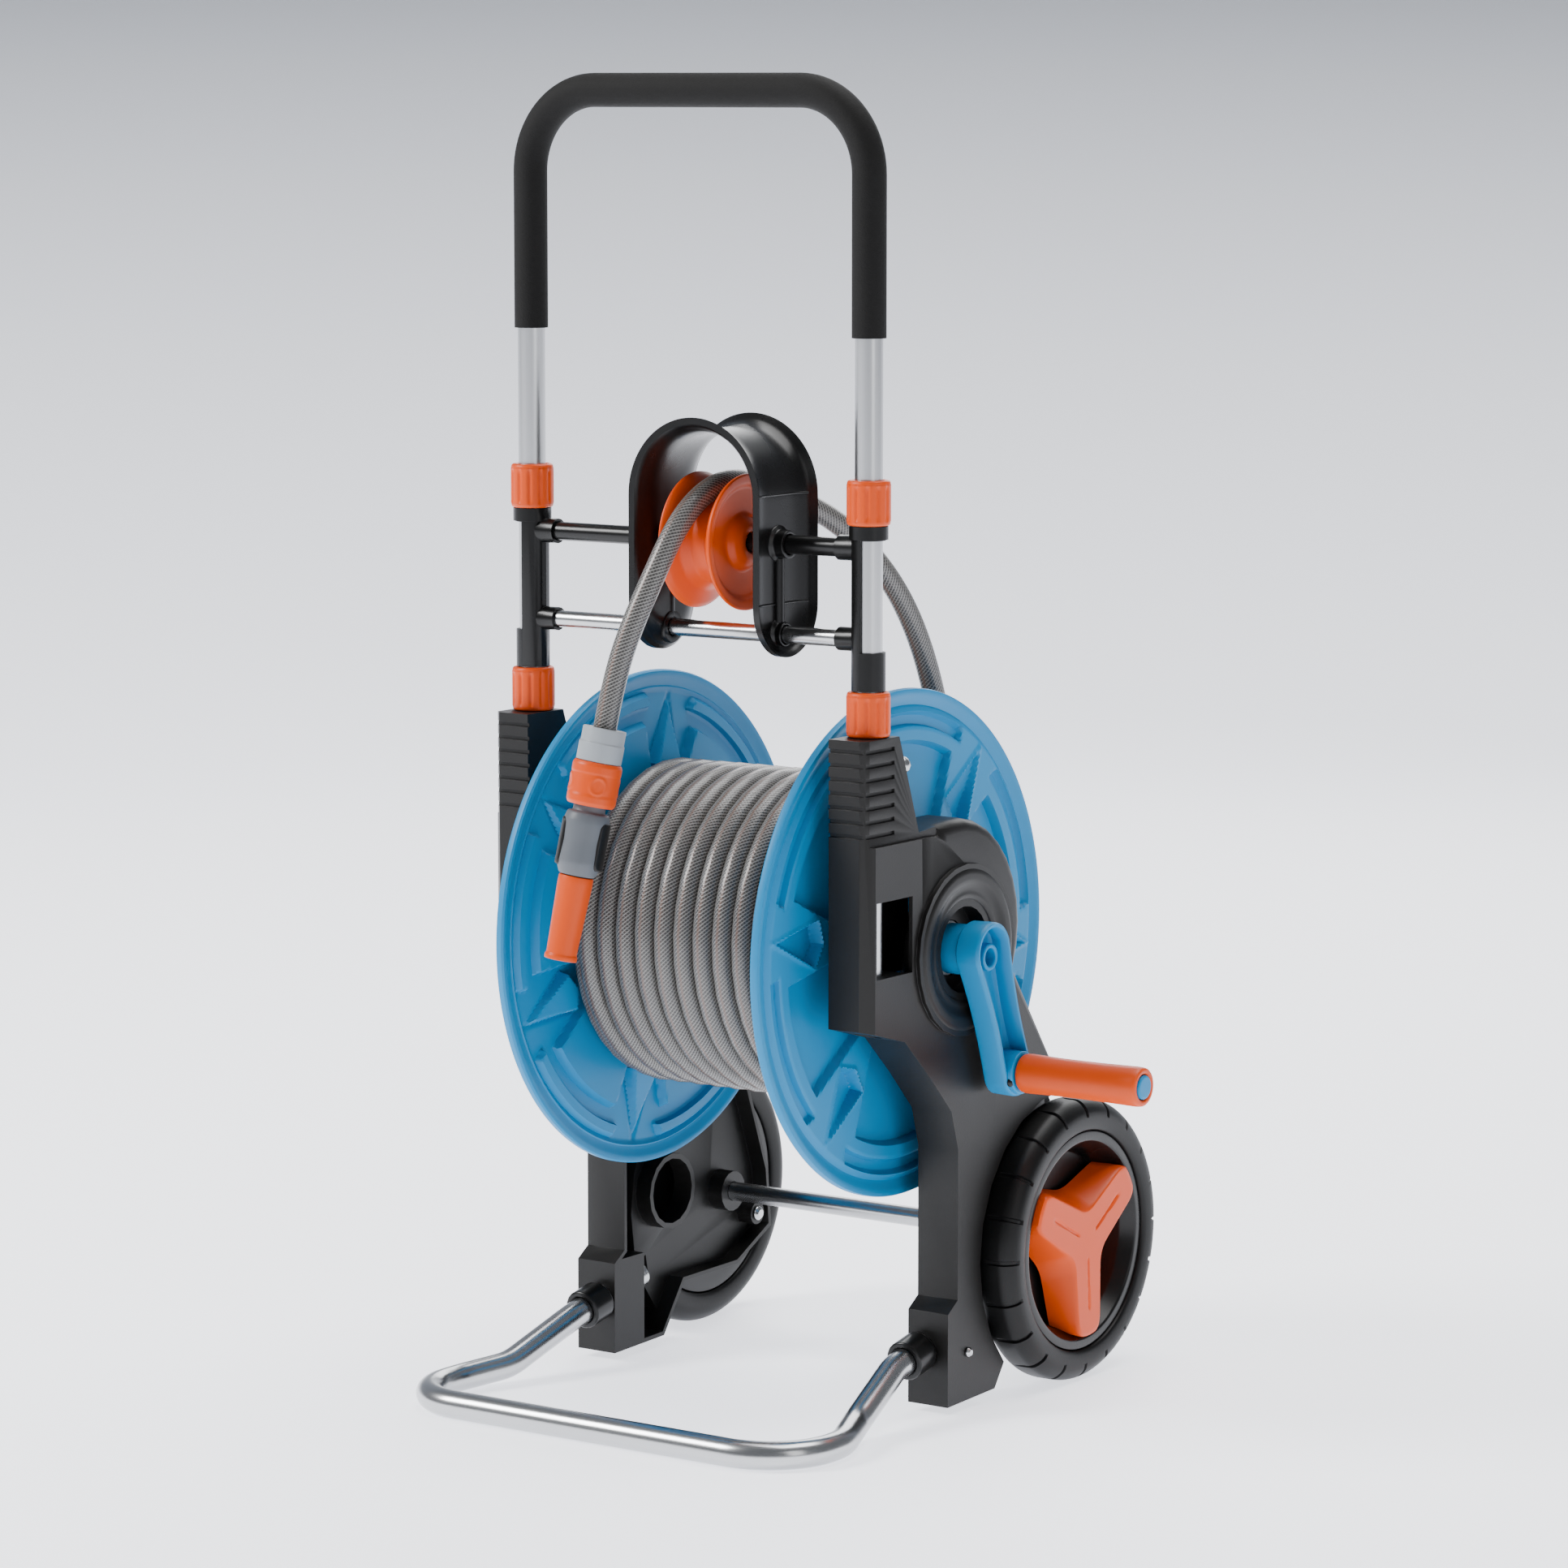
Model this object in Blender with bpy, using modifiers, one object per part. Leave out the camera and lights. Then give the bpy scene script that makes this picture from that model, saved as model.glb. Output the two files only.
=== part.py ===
"""Garden hose reel cart: two moulded side frames carry a hose drum with a crank, a push handle,
a sliding hose guide, a steel foot loop and two wheels.

Metres, +Z up. While it is modelled, X = 0 is midway between the frames, Y = 0 is the plane of the
handle's legs and Z = 0 is the ground; +X is the crank's side and +Y the wheels' side. At the end the
whole cart moves so that the origin lies under the middle of its box, on the ground.
"""

import math

import bmesh
import bpy
import numpy as np
from mathutils import Matrix, Vector

# Fits
GAP = 0.0003  # between pieces that touch
RUNNING = 0.0004  # between pieces that turn or slide on each other

# Handle, legs and collars
LEG_X = 0.1417
TUBE_R = 0.0095
TUBE_WALL = 0.0014
HANDLE_TOP = 0.9116
HANDLE_BEND = 0.056
LEG_END = 0.305
FOAM_WALL = 0.0022
FOAM_END = 0.7477
COLLAR_R = 0.015
COLLAR_LENGTH = 0.0305
PLUG_LENGTH = 0.016

# Side frames
FRAME_INNER_X = 0.127
FRAME_OUTER_X = 0.160
FRAME_WALL = 0.0032
COLUMN_TOP = 0.480
COLUMN_FRONT_Y = -0.026
COLUMN_BACK_Y = 0.015
COLUMN_FOOT = 0.283
STUD_Z = COLUMN_TOP - 0.023
SHOULDER_Z = 0.408
COLUMN_CHAMFER = 0.008
GROOVES = 7
GROOVE_PITCH = 0.0095
GROOVE_WIDTH = 0.0028
GROOVE_DEPTH = 0.0018
WINDOW_LOW = 0.318
WINDOW_HIGH = 0.370
FOOT_BOTTOM = 0.006
FOOT_TOP = 0.072
FOOT_FRONT_Y = 0.0727
FOOT_BACK_Y = 0.133
LIGHTENING_R = 0.024
SCREW_HEAD_R = 0.0055
SCREW_R = 0.0022
SCREW_LENGTH = 0.011

# Drum
DRUM_Y = 0.0912
DRUM_Z = 0.3252
FLANGE_R = 0.1772
FLANGE_INNER_X = 0.104
FLANGE_OUTER_X = 0.110
FLANGE_WALL = 0.0028
CORE_R = 0.057
CORE_WALL = 0.003
SPINDLE_R = 0.015
BUSH_WALL = 0.004
HUB_RING_R = 0.060
HUB_RECESS_R = 0.030
HUB_RECESS_DEPTH = 0.012
WATERWAY_R = 0.0065

# Hose
HOSE_R = 0.008
HOSE_LAYERS = 4
LAYER_STEP = 0.014

# Crank
CRANK_REACH = 0.0936
CRANK_LEAN = math.radians(20)
CRANK_X = 0.165
CRANK_DEPTH = 0.020
CRANK_ROOT_R = 0.022
CRANK_TIP_R = 0.0175
GRIP_LENGTH = 0.098
GRIP_R = 0.0138
GRIP_SPINDLE_R = 0.0062
GRIP_HEAD_R = 0.0085

# Wheels and axle
WHEEL_Y = 0.2205
WHEEL_R = 0.1007
WHEEL_INNER_X = 0.1465
WHEEL_WIDTH = 0.035
RIM_R = 0.0785
RIM_OPENING_R = 0.066
WHEEL_HUB_R = 0.016
RECESS_X = 0.143
FENDER_R = 0.107
AXLE_R = 0.007
AXLE_END = 0.172
SPIDER_REACH = 0.074
SPIDER_ARM = 0.034
SPIDER_START = math.radians(-87)

# Cross bars, brackets and hose guide
UPPER_BAR_Z = 0.6068
UPPER_BAR_R = 0.0065
LOWER_BAR_Z = 0.5454
LOWER_BAR_R = 0.006
BAR_END_X = 0.1285
BRACKET_RING_R = 0.0135
BRACKET_LOW_R = 0.0118
GUIDE_X = 0.022
GUIDE_DEPTH = 0.070
GUIDE_HALF = 0.046
GUIDE_TOP = 0.684
GUIDE_BOTTOM = 0.530
GUIDE_WALL = 0.003
GUIDE_BOSS_R = 0.0115
GUIDE_FOOT_R = 0.0095
PULLEY_R = 0.0465
PULLEY_CORE_R = 0.029
PULLEY_HALF = 0.0215
PULLEY_RIM = 0.0028

# Foot loop
LOOP_R = 0.00975
LOOP_SOCKET_X = 0.139
LOOP_SOCKET_Z = 0.045
LOOP_END_Y = 0.118
LOOP_END_Z = 0.055
LOOP_FRONT_Y = -0.126
LOOP_HALF = 0.164
LOOP_CORNER = 0.048
LOOP_COLLAR_R = 0.0142
LOOP_COLLAR_LENGTH = 0.024

# Fittings on the hose's end
NUT_R = 0.0155
NUT_LENGTH = 0.023
RING_R = 0.017
RING_LENGTH = 0.030
BODY_R = 0.0158
BODY_LENGTH = 0.048
NOZZLE_LENGTH = 0.058
NOZZLE_ROOT_R = 0.012
NOZZLE_TIP_R = 0.0105
RELEASE_TRAVEL = 0.004

# Water inlet
INLET_X = 0.205
INLET_R = 0.0135
INLET_DROP = 0.042
INLET_TAIL_R = 0.0095
INLET_TAIL_LENGTH = 0.020

# The free hose, from where it leaves the winding, over the pulley and down to its fittings
HOSE_ROUTE = [
    (0.070, 0.2150, 0.3150),
    (0.070, 0.2155, 0.3500),
    (0.071, 0.2080, 0.4100),
    (0.070, 0.1860, 0.4950),
    (0.062, 0.1480, 0.5680),
    (0.043, 0.1000, 0.6160),
    (0.027, 0.0480, 0.6395),
    (0.022, 0.0000, 0.6462),
    (0.018, -0.0380, 0.6272),
    (0.011, -0.0650, 0.5870),
    (-0.002, -0.0840, 0.5340),
    (-0.009, -0.0940, 0.4850),
]
HOSE_POINT_SPACING = 0.018

STEEL = ("polished_steel", (0.74, 0.75, 0.76), 0.18, 1.0)
ALUMINIUM = ("satin_aluminium", (0.80, 0.81, 0.82), 0.32, 1.0)
BLACK = ("black_plastic", (0.028, 0.029, 0.031), 0.52, 0.0)
FOAM = ("foam_rubber", (0.040, 0.038, 0.036), 0.85, 0.0)
TYRE = ("tyre_rubber", (0.022, 0.022, 0.023), 0.70, 0.0)
BLUE = ("blue_plastic", (0.012, 0.260, 0.620), 0.42, 0.0)
ORANGE = ("orange_plastic", (0.860, 0.135, 0.020), 0.40, 0.0)
GREY = ("grey_plastic", (0.160, 0.170, 0.185), 0.45, 0.0)
PALE = ("pale_plastic", (0.520, 0.540, 0.560), 0.45, 0.0)
HOSE = ("hose_plastic", (0.270, 0.275, 0.280), 0.38, 0.0)

# Sides of the round shapes that fit inside each other, which have to match
DRUM_STEPS = 32
WHEEL_STEPS = 28

# The exact solver leaves open edges on these, whose flat faces hold many round holes
MANY_HOLED = ("side_frame", "guide_housing", "leg_bracket")

PARTS = "hose_reel_cart"
CUTTERS = "cutters"
CORD_NODES = (
    "hose_free", "hose_winding", "hose_nut", "release_ring", "coupler_body",
    "coupler_pad_left", "coupler_pad_right", "nozzle",
)


def clear_scene():
    """Empty the startup scene."""
    for obj in list(bpy.data.objects):
        bpy.data.objects.remove(obj, do_unlink=True)
    for name in (PARTS, CUTTERS):
        bpy.context.scene.collection.children.link(bpy.data.collections.new(name))


def finish_material(finish):
    """The flat material of one finish, made once."""
    name, colour, roughness, metallic = finish
    found = bpy.data.materials.get(name)
    if found:
        return found
    made = bpy.data.materials.new(name)
    made.use_nodes = True
    shader = made.node_tree.nodes["Principled BSDF"]
    shader.inputs["Base Color"].default_value = (*colour, 1.0)
    shader.inputs["Roughness"].default_value = roughness
    shader.inputs["Metallic"].default_value = metallic
    return made


def put(obj, finish=None):
    """Into the parts' collection with its material, or into the cutters' if it has none."""
    bpy.data.collections[PARTS if finish else CUTTERS].objects.link(obj)
    if finish:
        obj.data.materials.append(finish_material(finish))
    else:
        obj.hide_render = True
        obj.display_type = "WIRE"
    return obj


def mesh_object(name, shape, finish=None):
    """A mesh object from points and faces, given its finish."""
    mesh = bpy.data.meshes.new(name)
    bmesh.ops.recalc_face_normals(shape, faces=shape.faces)
    shape.to_mesh(mesh)
    shape.free()
    return put(bpy.data.objects.new(name, mesh), finish)


def block(name, low, high, finish=None):
    """A box between two corners."""
    shape = bmesh.new()
    bmesh.ops.create_cube(shape, size=1.0)
    low, high = Vector(low), Vector(high)
    for vert in shape.verts:
        vert.co = (low + high) / 2 + vert.co * (high - low)
    return mesh_object(name, shape, finish)


def prism(name, outline, low, high, axis="X", finish=None):
    """The outline's points are in the plane across the axis: (y, z), (x, z) or (x, y)."""
    shape = bmesh.new()
    at = "XYZ".index(axis)
    corners = [Vector((*p[:at], low, *p[at:2])) for p in (tuple(q) for q in outline)]
    face = shape.faces.new([shape.verts.new(corner) for corner in corners])
    grown = bmesh.ops.extrude_face_region(shape, geom=[face])
    step = Vector([high - low if i == at else 0 for i in range(3)])
    moved = [item for item in grown["geom"] if isinstance(item, bmesh.types.BMVert)]
    bmesh.ops.translate(shape, verts=moved, vec=step)
    return mesh_object(name, shape, finish)


def turned(name, profile, centre, axis=(0, 0, 1), finish=None, steps=16, ring=True):
    """A profile of (radius, height) that runs down its outer side, turned about the axis through
    the centre. A ring's profile closes on itself, and any other starts and ends on the axis."""
    axis = Vector(axis)
    straight = [i for i in range(3) if abs(axis[i]) > 0.99999]
    up = straight[0] if straight else 2
    if straight and axis[up] < 0:
        profile = [(radius, -height) for radius, height in reversed(profile)]
    points = []
    for radius, height in profile:
        point = [0.0, 0.0, 0.0]
        point[up] = height
        point[(up + 1) % 3] = radius
        points.append(point)
    count = len(points)
    edges = [(i, (i + 1) % count) for i in range(count if ring else count - 1)]
    mesh = bpy.data.meshes.new(name)
    mesh.from_pydata(points, edges, [])
    obj = put(bpy.data.objects.new(name, mesh), finish)
    obj.location = centre
    if not straight:
        obj.rotation_euler = Vector((0, 0, 1)).rotation_difference(axis).to_euler()
    bpy.context.view_layer.update()
    screw = obj.modifiers.new("turn", "SCREW")
    screw.axis = "XYZ"[up]
    screw.steps = screw.render_steps = steps
    screw.use_merge_vertices = True
    screw.merge_threshold = 0.00001
    screw.use_smooth_shade = True
    return obj


def disc(name, radius, centre, low, high, axis=(0, 0, 1), finish=None, steps=16):
    """A cylinder about an axis through a place, from one distance along it to another."""
    profile = [(0, high), (radius, high), (radius, low), (0, low)]
    return turned(name, profile, centre, axis, finish, steps, ring=False)


def washer(name, hole, radius, centre, low, high, axis=(0, 0, 1), finish=None, steps=16):
    """A flat ring."""
    profile = [(radius, high), (radius, low), (hole, low), (hole, high)]
    return turned(name, profile, centre, axis, finish, steps)


def keep_place(obj, parent):
    """Hangs the object on its parent without moving it."""
    world = obj.matrix_world.copy()
    obj.parent = parent
    obj.matrix_world = world


def apply_boolean(obj, tool, operation):
    """Apply one exact Boolean and drop its tool."""
    step = obj.modifiers.new(tool.name, "BOOLEAN")
    step.operation = operation
    step.solver = "MANIFOLD" if obj.name.startswith(MANY_HOLED) else "EXACT"
    step.object = tool
    keep_place(tool, obj)
    return obj


def cut(obj, *tools):
    """Take every tool away from a solid."""
    for tool in tools:
        apply_boolean(obj, tool, "DIFFERENCE")
    return obj


def join(obj, *tools):
    """Add every other solid to the first."""
    for tool in tools:
        apply_boolean(obj, tool, "UNION")
    return obj


def filleted(points, radii, steps=4, closed=False):
    """The polyline with each corner rounded by an arc of its radius."""
    points = [Vector(p).to_3d() for p in points]
    count = len(points)
    if not hasattr(radii, "__len__"):
        radii = [radii] * count
    path = []
    for i, corner in enumerate(points):
        if radii[i] <= 0 or (not closed and i in (0, count - 1)):
            path.append(corner)
            continue
        to_last = (points[i - 1] - corner).normalized()
        to_next = (points[(i + 1) % count] - corner).normalized()
        half = to_last.angle(to_next) / 2
        centre = corner + (to_last + to_next).normalized() * radii[i] / math.sin(half)
        start = corner + to_last * radii[i] / math.tan(half) - centre
        end = corner + to_next * radii[i] / math.tan(half) - centre
        sweep = math.pi - 2 * half
        for k in range(steps + 1):
            turn = sweep * k / steps
            arc = start * math.sin(sweep - turn) + end * math.sin(turn)
            path.append(centre + arc / math.sin(sweep))
    return path


def smooth_route(points, spacing):
    """Points at this spacing on the natural cubic spline through the given ones."""
    knots = np.array(points, float)
    t = np.concatenate([[0.0], np.cumsum(np.linalg.norm(np.diff(knots, axis=0), axis=1))])
    h = np.diff(t)
    n = len(t)
    system = np.eye(n)
    target = np.zeros_like(knots)
    for i in range(1, n - 1):
        system[i, i - 1 : i + 2] = h[i - 1], 2 * (h[i - 1] + h[i]), h[i]
        slopes = np.diff(knots[i - 1 : i + 2], axis=0) / h[i - 1 : i + 1, None]
        target[i] = 6 * (slopes[1] - slopes[0])
    bend = np.linalg.solve(system, target)
    at = np.linspace(0, t[-1], round(t[-1] / spacing) + 1)
    i = np.clip(np.searchsorted(t, at, side="right") - 1, 0, n - 2)
    a = ((t[i + 1] - at) / h[i])[:, None]
    b = 1 - a
    curved = (a**3 - a) * bend[i] + (b**3 - b) * bend[i + 1]
    return a * knots[i] + b * knots[i + 1] + curved * h[i, None] ** 2 / 6


def tube(name, points, radius, finish=None, wall=None, resolution=4, solid_mesh=False):
    """A round bar along the points or, with a wall, an open-ended tube of that wall. A cutter, a
    tube and a bar that Booleans change are made a mesh; any other bar stays a curve."""
    curve = bpy.data.curves.new(name, "CURVE")
    curve.dimensions = "3D"
    curve.bevel_depth = radius
    curve.bevel_resolution = resolution
    curve.use_fill_caps = wall is None
    spline = curve.splines.new("POLY")
    spline.points.add(len(points) - 1)
    for spot, point in zip(spline.points, points):
        spot.co = (*point, 1.0)
    obj = bpy.data.objects.new(name, curve)
    if finish and wall is None and not solid_mesh:
        return put(obj, finish)
    bpy.data.collections[CUTTERS].objects.link(obj)
    graph = bpy.context.evaluated_depsgraph_get()
    mesh = bpy.data.meshes.new_from_object(obj.evaluated_get(graph))
    bpy.data.objects.remove(obj)
    shape = bmesh.new()
    shape.from_mesh(mesh)
    bpy.data.meshes.remove(mesh)
    bmesh.ops.remove_doubles(shape, verts=shape.verts, dist=0.000001)
    made = mesh_object(name, shape, finish)
    if wall:
        shell = made.modifiers.new("wall", "SOLIDIFY")
        shell.thickness = wall
        shell.offset = -1
    return made


def sided(x, side):
    """Two distances from the middle plane, in rising order on the given side."""
    return min(side * x[0], side * x[1]), max(side * x[0], side * x[1])


def side_name(side):
    """The word for a side."""
    return "right" if side > 0 else "left"


# ---------------------------------------------------------------- side frames
def frame_outline():
    """The frame from the side, as (y, z), clockwise from the top of the column's front."""
    arch = []
    arch_r = 0.080
    for degrees in range(96, -26, -12):
        turn = math.radians(degrees)
        y = DRUM_Y - 0.005 + arch_r * math.cos(turn)
        arch.append((y, DRUM_Z + 0.011 + arch_r * math.sin(turn)))
    rear = [
        (WHEEL_Y + 0.015, WHEEL_R + 0.089),
        (WHEEL_Y + 0.032, WHEEL_R + 0.045),
        (WHEEL_Y + 0.045, WHEEL_R + 0.010),
        (WHEEL_Y + 0.049, WHEEL_R - 0.034),
        (WHEEL_Y + 0.006, WHEEL_R - 0.056),
        (WHEEL_Y - 0.062, WHEEL_R - 0.057),
    ]
    foot = [
        (FOOT_BACK_Y + 0.010, 0.022),
        (FOOT_BACK_Y, FOOT_BOTTOM + 0.002),
        (FOOT_FRONT_Y, FOOT_BOTTOM),
        (FOOT_FRONT_Y, FOOT_TOP),
        (FOOT_FRONT_Y + 0.012, FOOT_TOP + 0.008),
    ]
    arm = [
        (FOOT_FRONT_Y + 0.012, 0.186),
        (0.076, 0.214),
        (0.048, 0.243),
        (0.018, COLUMN_FOOT - 0.012),
        (COLUMN_FRONT_Y, COLUMN_FOOT),
    ]
    column = [
        (COLUMN_FRONT_Y, COLUMN_TOP),
        (COLUMN_BACK_Y, COLUMN_TOP),
        (COLUMN_BACK_Y + 0.024, SHOULDER_Z + 0.004),
    ]
    return column + arch + rear + foot + arm


def inset(outline, wall):
    """The closed outline, which runs clockwise, moved inwards by the wall."""
    moved = []
    count = len(outline)
    for i in range(count):
        before, here, after = (Vector(outline[k % count]) for k in (i - 1, i, i + 1))
        into = [Vector((d.y, -d.x)).normalized() for d in (here - before, after - here)]
        share = wall / (1 + into[0].dot(into[1]))
        moved.append(here + (into[0] + into[1]) * share)
    return moved


def frame_pocket(side, name):
    """What is open towards the drum: all inside the wall but the column, the bosses and the foot."""
    wheel = (0, WHEEL_Y, WHEEL_R)
    hub = (0, DRUM_Y, DRUM_Z)
    deep = FRAME_OUTER_X - FRAME_WALL
    shallow = RECESS_X - FRAME_WALL
    low, high = sided((FRAME_INNER_X - 0.004, deep), side)
    pocket = prism(f"{name}_pocket", inset(frame_outline(), FRAME_WALL), low, high)
    keep = (side * FRAME_OUTER_X, side * (FRAME_INNER_X - 0.010))
    low, high = min(keep), max(keep)
    bosses = [
        block(f"{name}_keep_column", (low, -0.1, 0.2), (high, TUBE_R + 0.012, COLUMN_TOP)),
        disc(f"{name}_keep_hub", SPINDLE_R + BUSH_WALL + 0.014, hub, low, high, (1, 0, 0)),
        disc(f"{name}_keep_axle", AXLE_R + 0.008, wheel, low, high, (1, 0, 0)),
        disc(f"{name}_keep_screw", SCREW_HEAD_R + 0.003, rear_screw_place(), low, high, (1, 0, 0)),
        disc(f"{name}_keep_ring", LIGHTENING_R + 0.004, lightening_place(), low, high, (1, 0, 0)),
        block(f"{name}_keep_foot", (low, 0, 0), (high, FOOT_FRONT_Y + 0.036, FOOT_TOP + 0.002)),
    ]
    low, high = sided((shallow, FRAME_OUTER_X), side)
    fender = FENDER_R + FRAME_WALL
    bosses.append(disc(f"{name}_keep_fender", fender, wheel, low, high, (1, 0, 0), steps=24))
    return cut(pocket, *bosses)


def rear_screw_place():
    """Where the screw near the wheel's rear goes, in the plane X = 0."""
    return 0, WHEEL_Y + 0.031, WHEEL_R - 0.022


def lightening_place():
    """Where the round opening ahead of the wheel is, in the plane X = 0."""
    return 0, WHEEL_Y - 0.0765, WHEEL_R + 0.013


def side_frame(side):
    """One moulded side frame: column, hub ring, fender, foot, pockets and bores."""
    name = f"side_frame_{side_name(side)}"
    leg = (side * LEG_X, 0, 0)
    hub = (0, DRUM_Y, DRUM_Z)
    wheel = (0, WHEEL_Y, WHEEL_R)
    x_axis = (1, 0, 0)
    low, high = sided((FRAME_INNER_X, FRAME_OUTER_X), side)
    frame = prism(name, frame_outline(), low, high, finish=BLACK)
    past = (low - 0.01, high + 0.01)
    recess = sided((RECESS_X, FRAME_OUTER_X + 0.01), side)
    column = sided((FRAME_OUTER_X - 0.003, FRAME_OUTER_X + 0.01), side)
    hub_cut = sided((FRAME_OUTER_X - HUB_RECESS_DEPTH, FRAME_OUTER_X + 0.01), side)
    ring = sided((FRAME_OUTER_X - 0.001, FRAME_OUTER_X + 0.003), side)
    ring_cut = sided((FRAME_OUTER_X + 0.0005, FRAME_OUTER_X + 0.01), side)
    foot_span = foot_screw_span(side)
    join(frame, disc(f"{name}_hub_ring", HUB_RING_R, hub, *ring, x_axis, steps=24))
    cut(frame, frame_pocket(side, name))
    corner = side * FRAME_OUTER_X
    inward = -side * COLUMN_CHAMFER
    chamfer = [
        (corner + side * 0.005, COLUMN_FRONT_Y - 0.005),
        (corner + inward * 1.6, COLUMN_FRONT_Y - 0.005),
        (corner + side * 0.005, COLUMN_FRONT_Y + COLUMN_CHAMFER * 1.6),
    ]
    cut(
        frame,
        prism(f"{name}_chamfer", chamfer, COLUMN_FOOT - 0.02, COLUMN_TOP + 0.01, "Z"),
        disc(f"{name}_fender", FENDER_R, wheel, *recess, x_axis, steps=24),
        disc(f"{name}_bush_bore", SPINDLE_R + RUNNING + BUSH_WALL + GAP, hub, *past, x_axis),
        disc(f"{name}_hub_recess", HUB_RECESS_R, hub, *hub_cut, x_axis, steps=24),
        disc(f"{name}_hub_step", HUB_RING_R - 0.010, hub, *ring_cut, x_axis, steps=24),
        disc(f"{name}_leg_bore", TUBE_R + RUNNING, leg, COLUMN_FOOT - 0.03, COLUMN_TOP + 0.01, steps=16),
        disc(f"{name}_axle_bore", AXLE_R + GAP, wheel, *past, x_axis, steps=16),
        disc(f"{name}_lightening", LIGHTENING_R, lightening_place(), *past, x_axis),
        disc(f"{name}_rear_bore", SCREW_R + GAP, rear_screw_place(), *screw_span(side), x_axis, steps=12),
        disc(f"{name}_foot_bore", SCREW_R + GAP, foot_screw_place(), *foot_span, x_axis, steps=12),
        block(f"{name}_window", (past[0], -TUBE_R - 0.007, WINDOW_LOW), (past[1], 0.027, WINDOW_HIGH)),
        block(f"{name}_column_side", (column[0], -0.05, SHOULDER_Z), (column[1], 0.06, COLUMN_TOP + 0.01)),
        tube(f"{name}_loop_bore", loop_path(side, 0.012), LOOP_R + GAP, resolution=2),
        disc(
            f"{name}_stud_bore", 0.0035 + GAP, (side * LEG_X, COLUMN_BACK_Y - 0.003, STUD_Z),
            0, 0.05, (0, 1, 0), steps=12,
        ),
    )
    for k in range(GROOVES):
        z = SHOULDER_Z + 0.006 + k * GROOVE_PITCH
        groove = block(
            f"{name}_groove_{k}",
            (past[0], COLUMN_FRONT_Y - 0.01, z),
            (past[1], COLUMN_FRONT_Y + GROOVE_DEPTH, z + GROOVE_WIDTH),
        )
        face = sided((FRAME_OUTER_X - 0.003 - GROOVE_DEPTH, FRAME_OUTER_X + 0.01), side)
        flute = block(
            f"{name}_flute_{k}",
            (face[0], COLUMN_FRONT_Y + GROOVE_DEPTH / 2, z),
            (face[1], COLUMN_BACK_Y - 0.006, z + GROOVE_WIDTH),
        )
        cut(frame, groove, flute)
    return frame


def screw_span(side):
    """How far along X the rear screw reaches."""
    return sided((FRAME_INNER_X - 0.01, FRAME_INNER_X + SCREW_LENGTH + GAP), side)


def foot_screw_place():
    """Where the screw that holds the foot loop goes, in the plane X = 0."""
    return 0, FOOT_FRONT_Y + 0.025, (FOOT_BOTTOM + FOOT_TOP) / 2 + 0.002


def foot_screw_span(side):
    """How far along X the foot screw reaches."""
    return sided((FRAME_OUTER_X - SCREW_LENGTH - GAP, FRAME_OUTER_X + 0.01), side)


def screw(name, place, face_x, side, inwards, finish=STEEL, head_r=SCREW_HEAD_R):
    """A screw whose head sits on the face at face_x, and whose shank goes the way of inwards."""
    step = -inwards
    x = face_x + step * GAP
    profile = [(0, 0.003), (head_r * 0.6, 0.003), (head_r, 0.0012), (head_r, 0), (SCREW_R, 0),
               (SCREW_R, -SCREW_LENGTH + 2 * GAP), (0, -SCREW_LENGTH + 2 * GAP)]
    centre = (side * x, place[1], place[2])
    return turned(name, profile, centre, (side * step, 0, 0), finish, 12, ring=False)


def ball_stud(side):
    """A short ball-headed stud on the column's back, to hang the nozzle's end on."""
    ball = 0.0065
    stem = 0.0035
    neck = 0.010
    start = math.asin(stem / ball)
    profile = []
    for k in range(7):
        turn = k / 7 * (math.pi - start)
        profile.append((ball * math.sin(turn), neck + ball * (math.cos(start) + math.cos(turn))))
    profile += [(stem, neck), (stem, -0.012), (0, -0.012)]
    place = (side * LEG_X, COLUMN_BACK_Y + 0.0095, STUD_Z)
    return turned(f"ball_stud_{side_name(side)}", profile, place, (0, 1, 0), STEEL, 12, ring=False)


# ---------------------------------------------------------------- foot loop
def loop_path(side, beyond=0.0):
    """One half of the loop from its end inside the foot to the middle of the front bar."""
    rise = (LOOP_END_Z - LOOP_SOCKET_Z) / (LOOP_END_Y - FOOT_FRONT_Y)
    corners = [
        (LOOP_SOCKET_X, LOOP_END_Y + beyond, LOOP_END_Z + rise * beyond),
        (LOOP_SOCKET_X, FOOT_FRONT_Y - LOOP_COLLAR_LENGTH - 0.012, LOOP_SOCKET_Z - 0.007),
        (LOOP_SOCKET_X + 0.010, -0.024, LOOP_R + 0.004),
        (LOOP_HALF, LOOP_FRONT_Y + LOOP_CORNER + 0.016, LOOP_R),
        (LOOP_HALF, LOOP_FRONT_Y, LOOP_R),
        (0, LOOP_FRONT_Y, LOOP_R),
    ]
    radii = [0, 0.050, 0.050, 0.05, LOOP_CORNER, 0]
    return [Vector((side * p.x, p.y, p.z)) for p in filleted(corners, radii, 3)]


def foot_loop():
    """The bent tube that the cart rests on."""
    right = loop_path(1)
    left = loop_path(-1)
    return tube("foot_loop", right + left[-2::-1], LOOP_R, STEEL, wall=TUBE_WALL, resolution=2)


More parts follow.
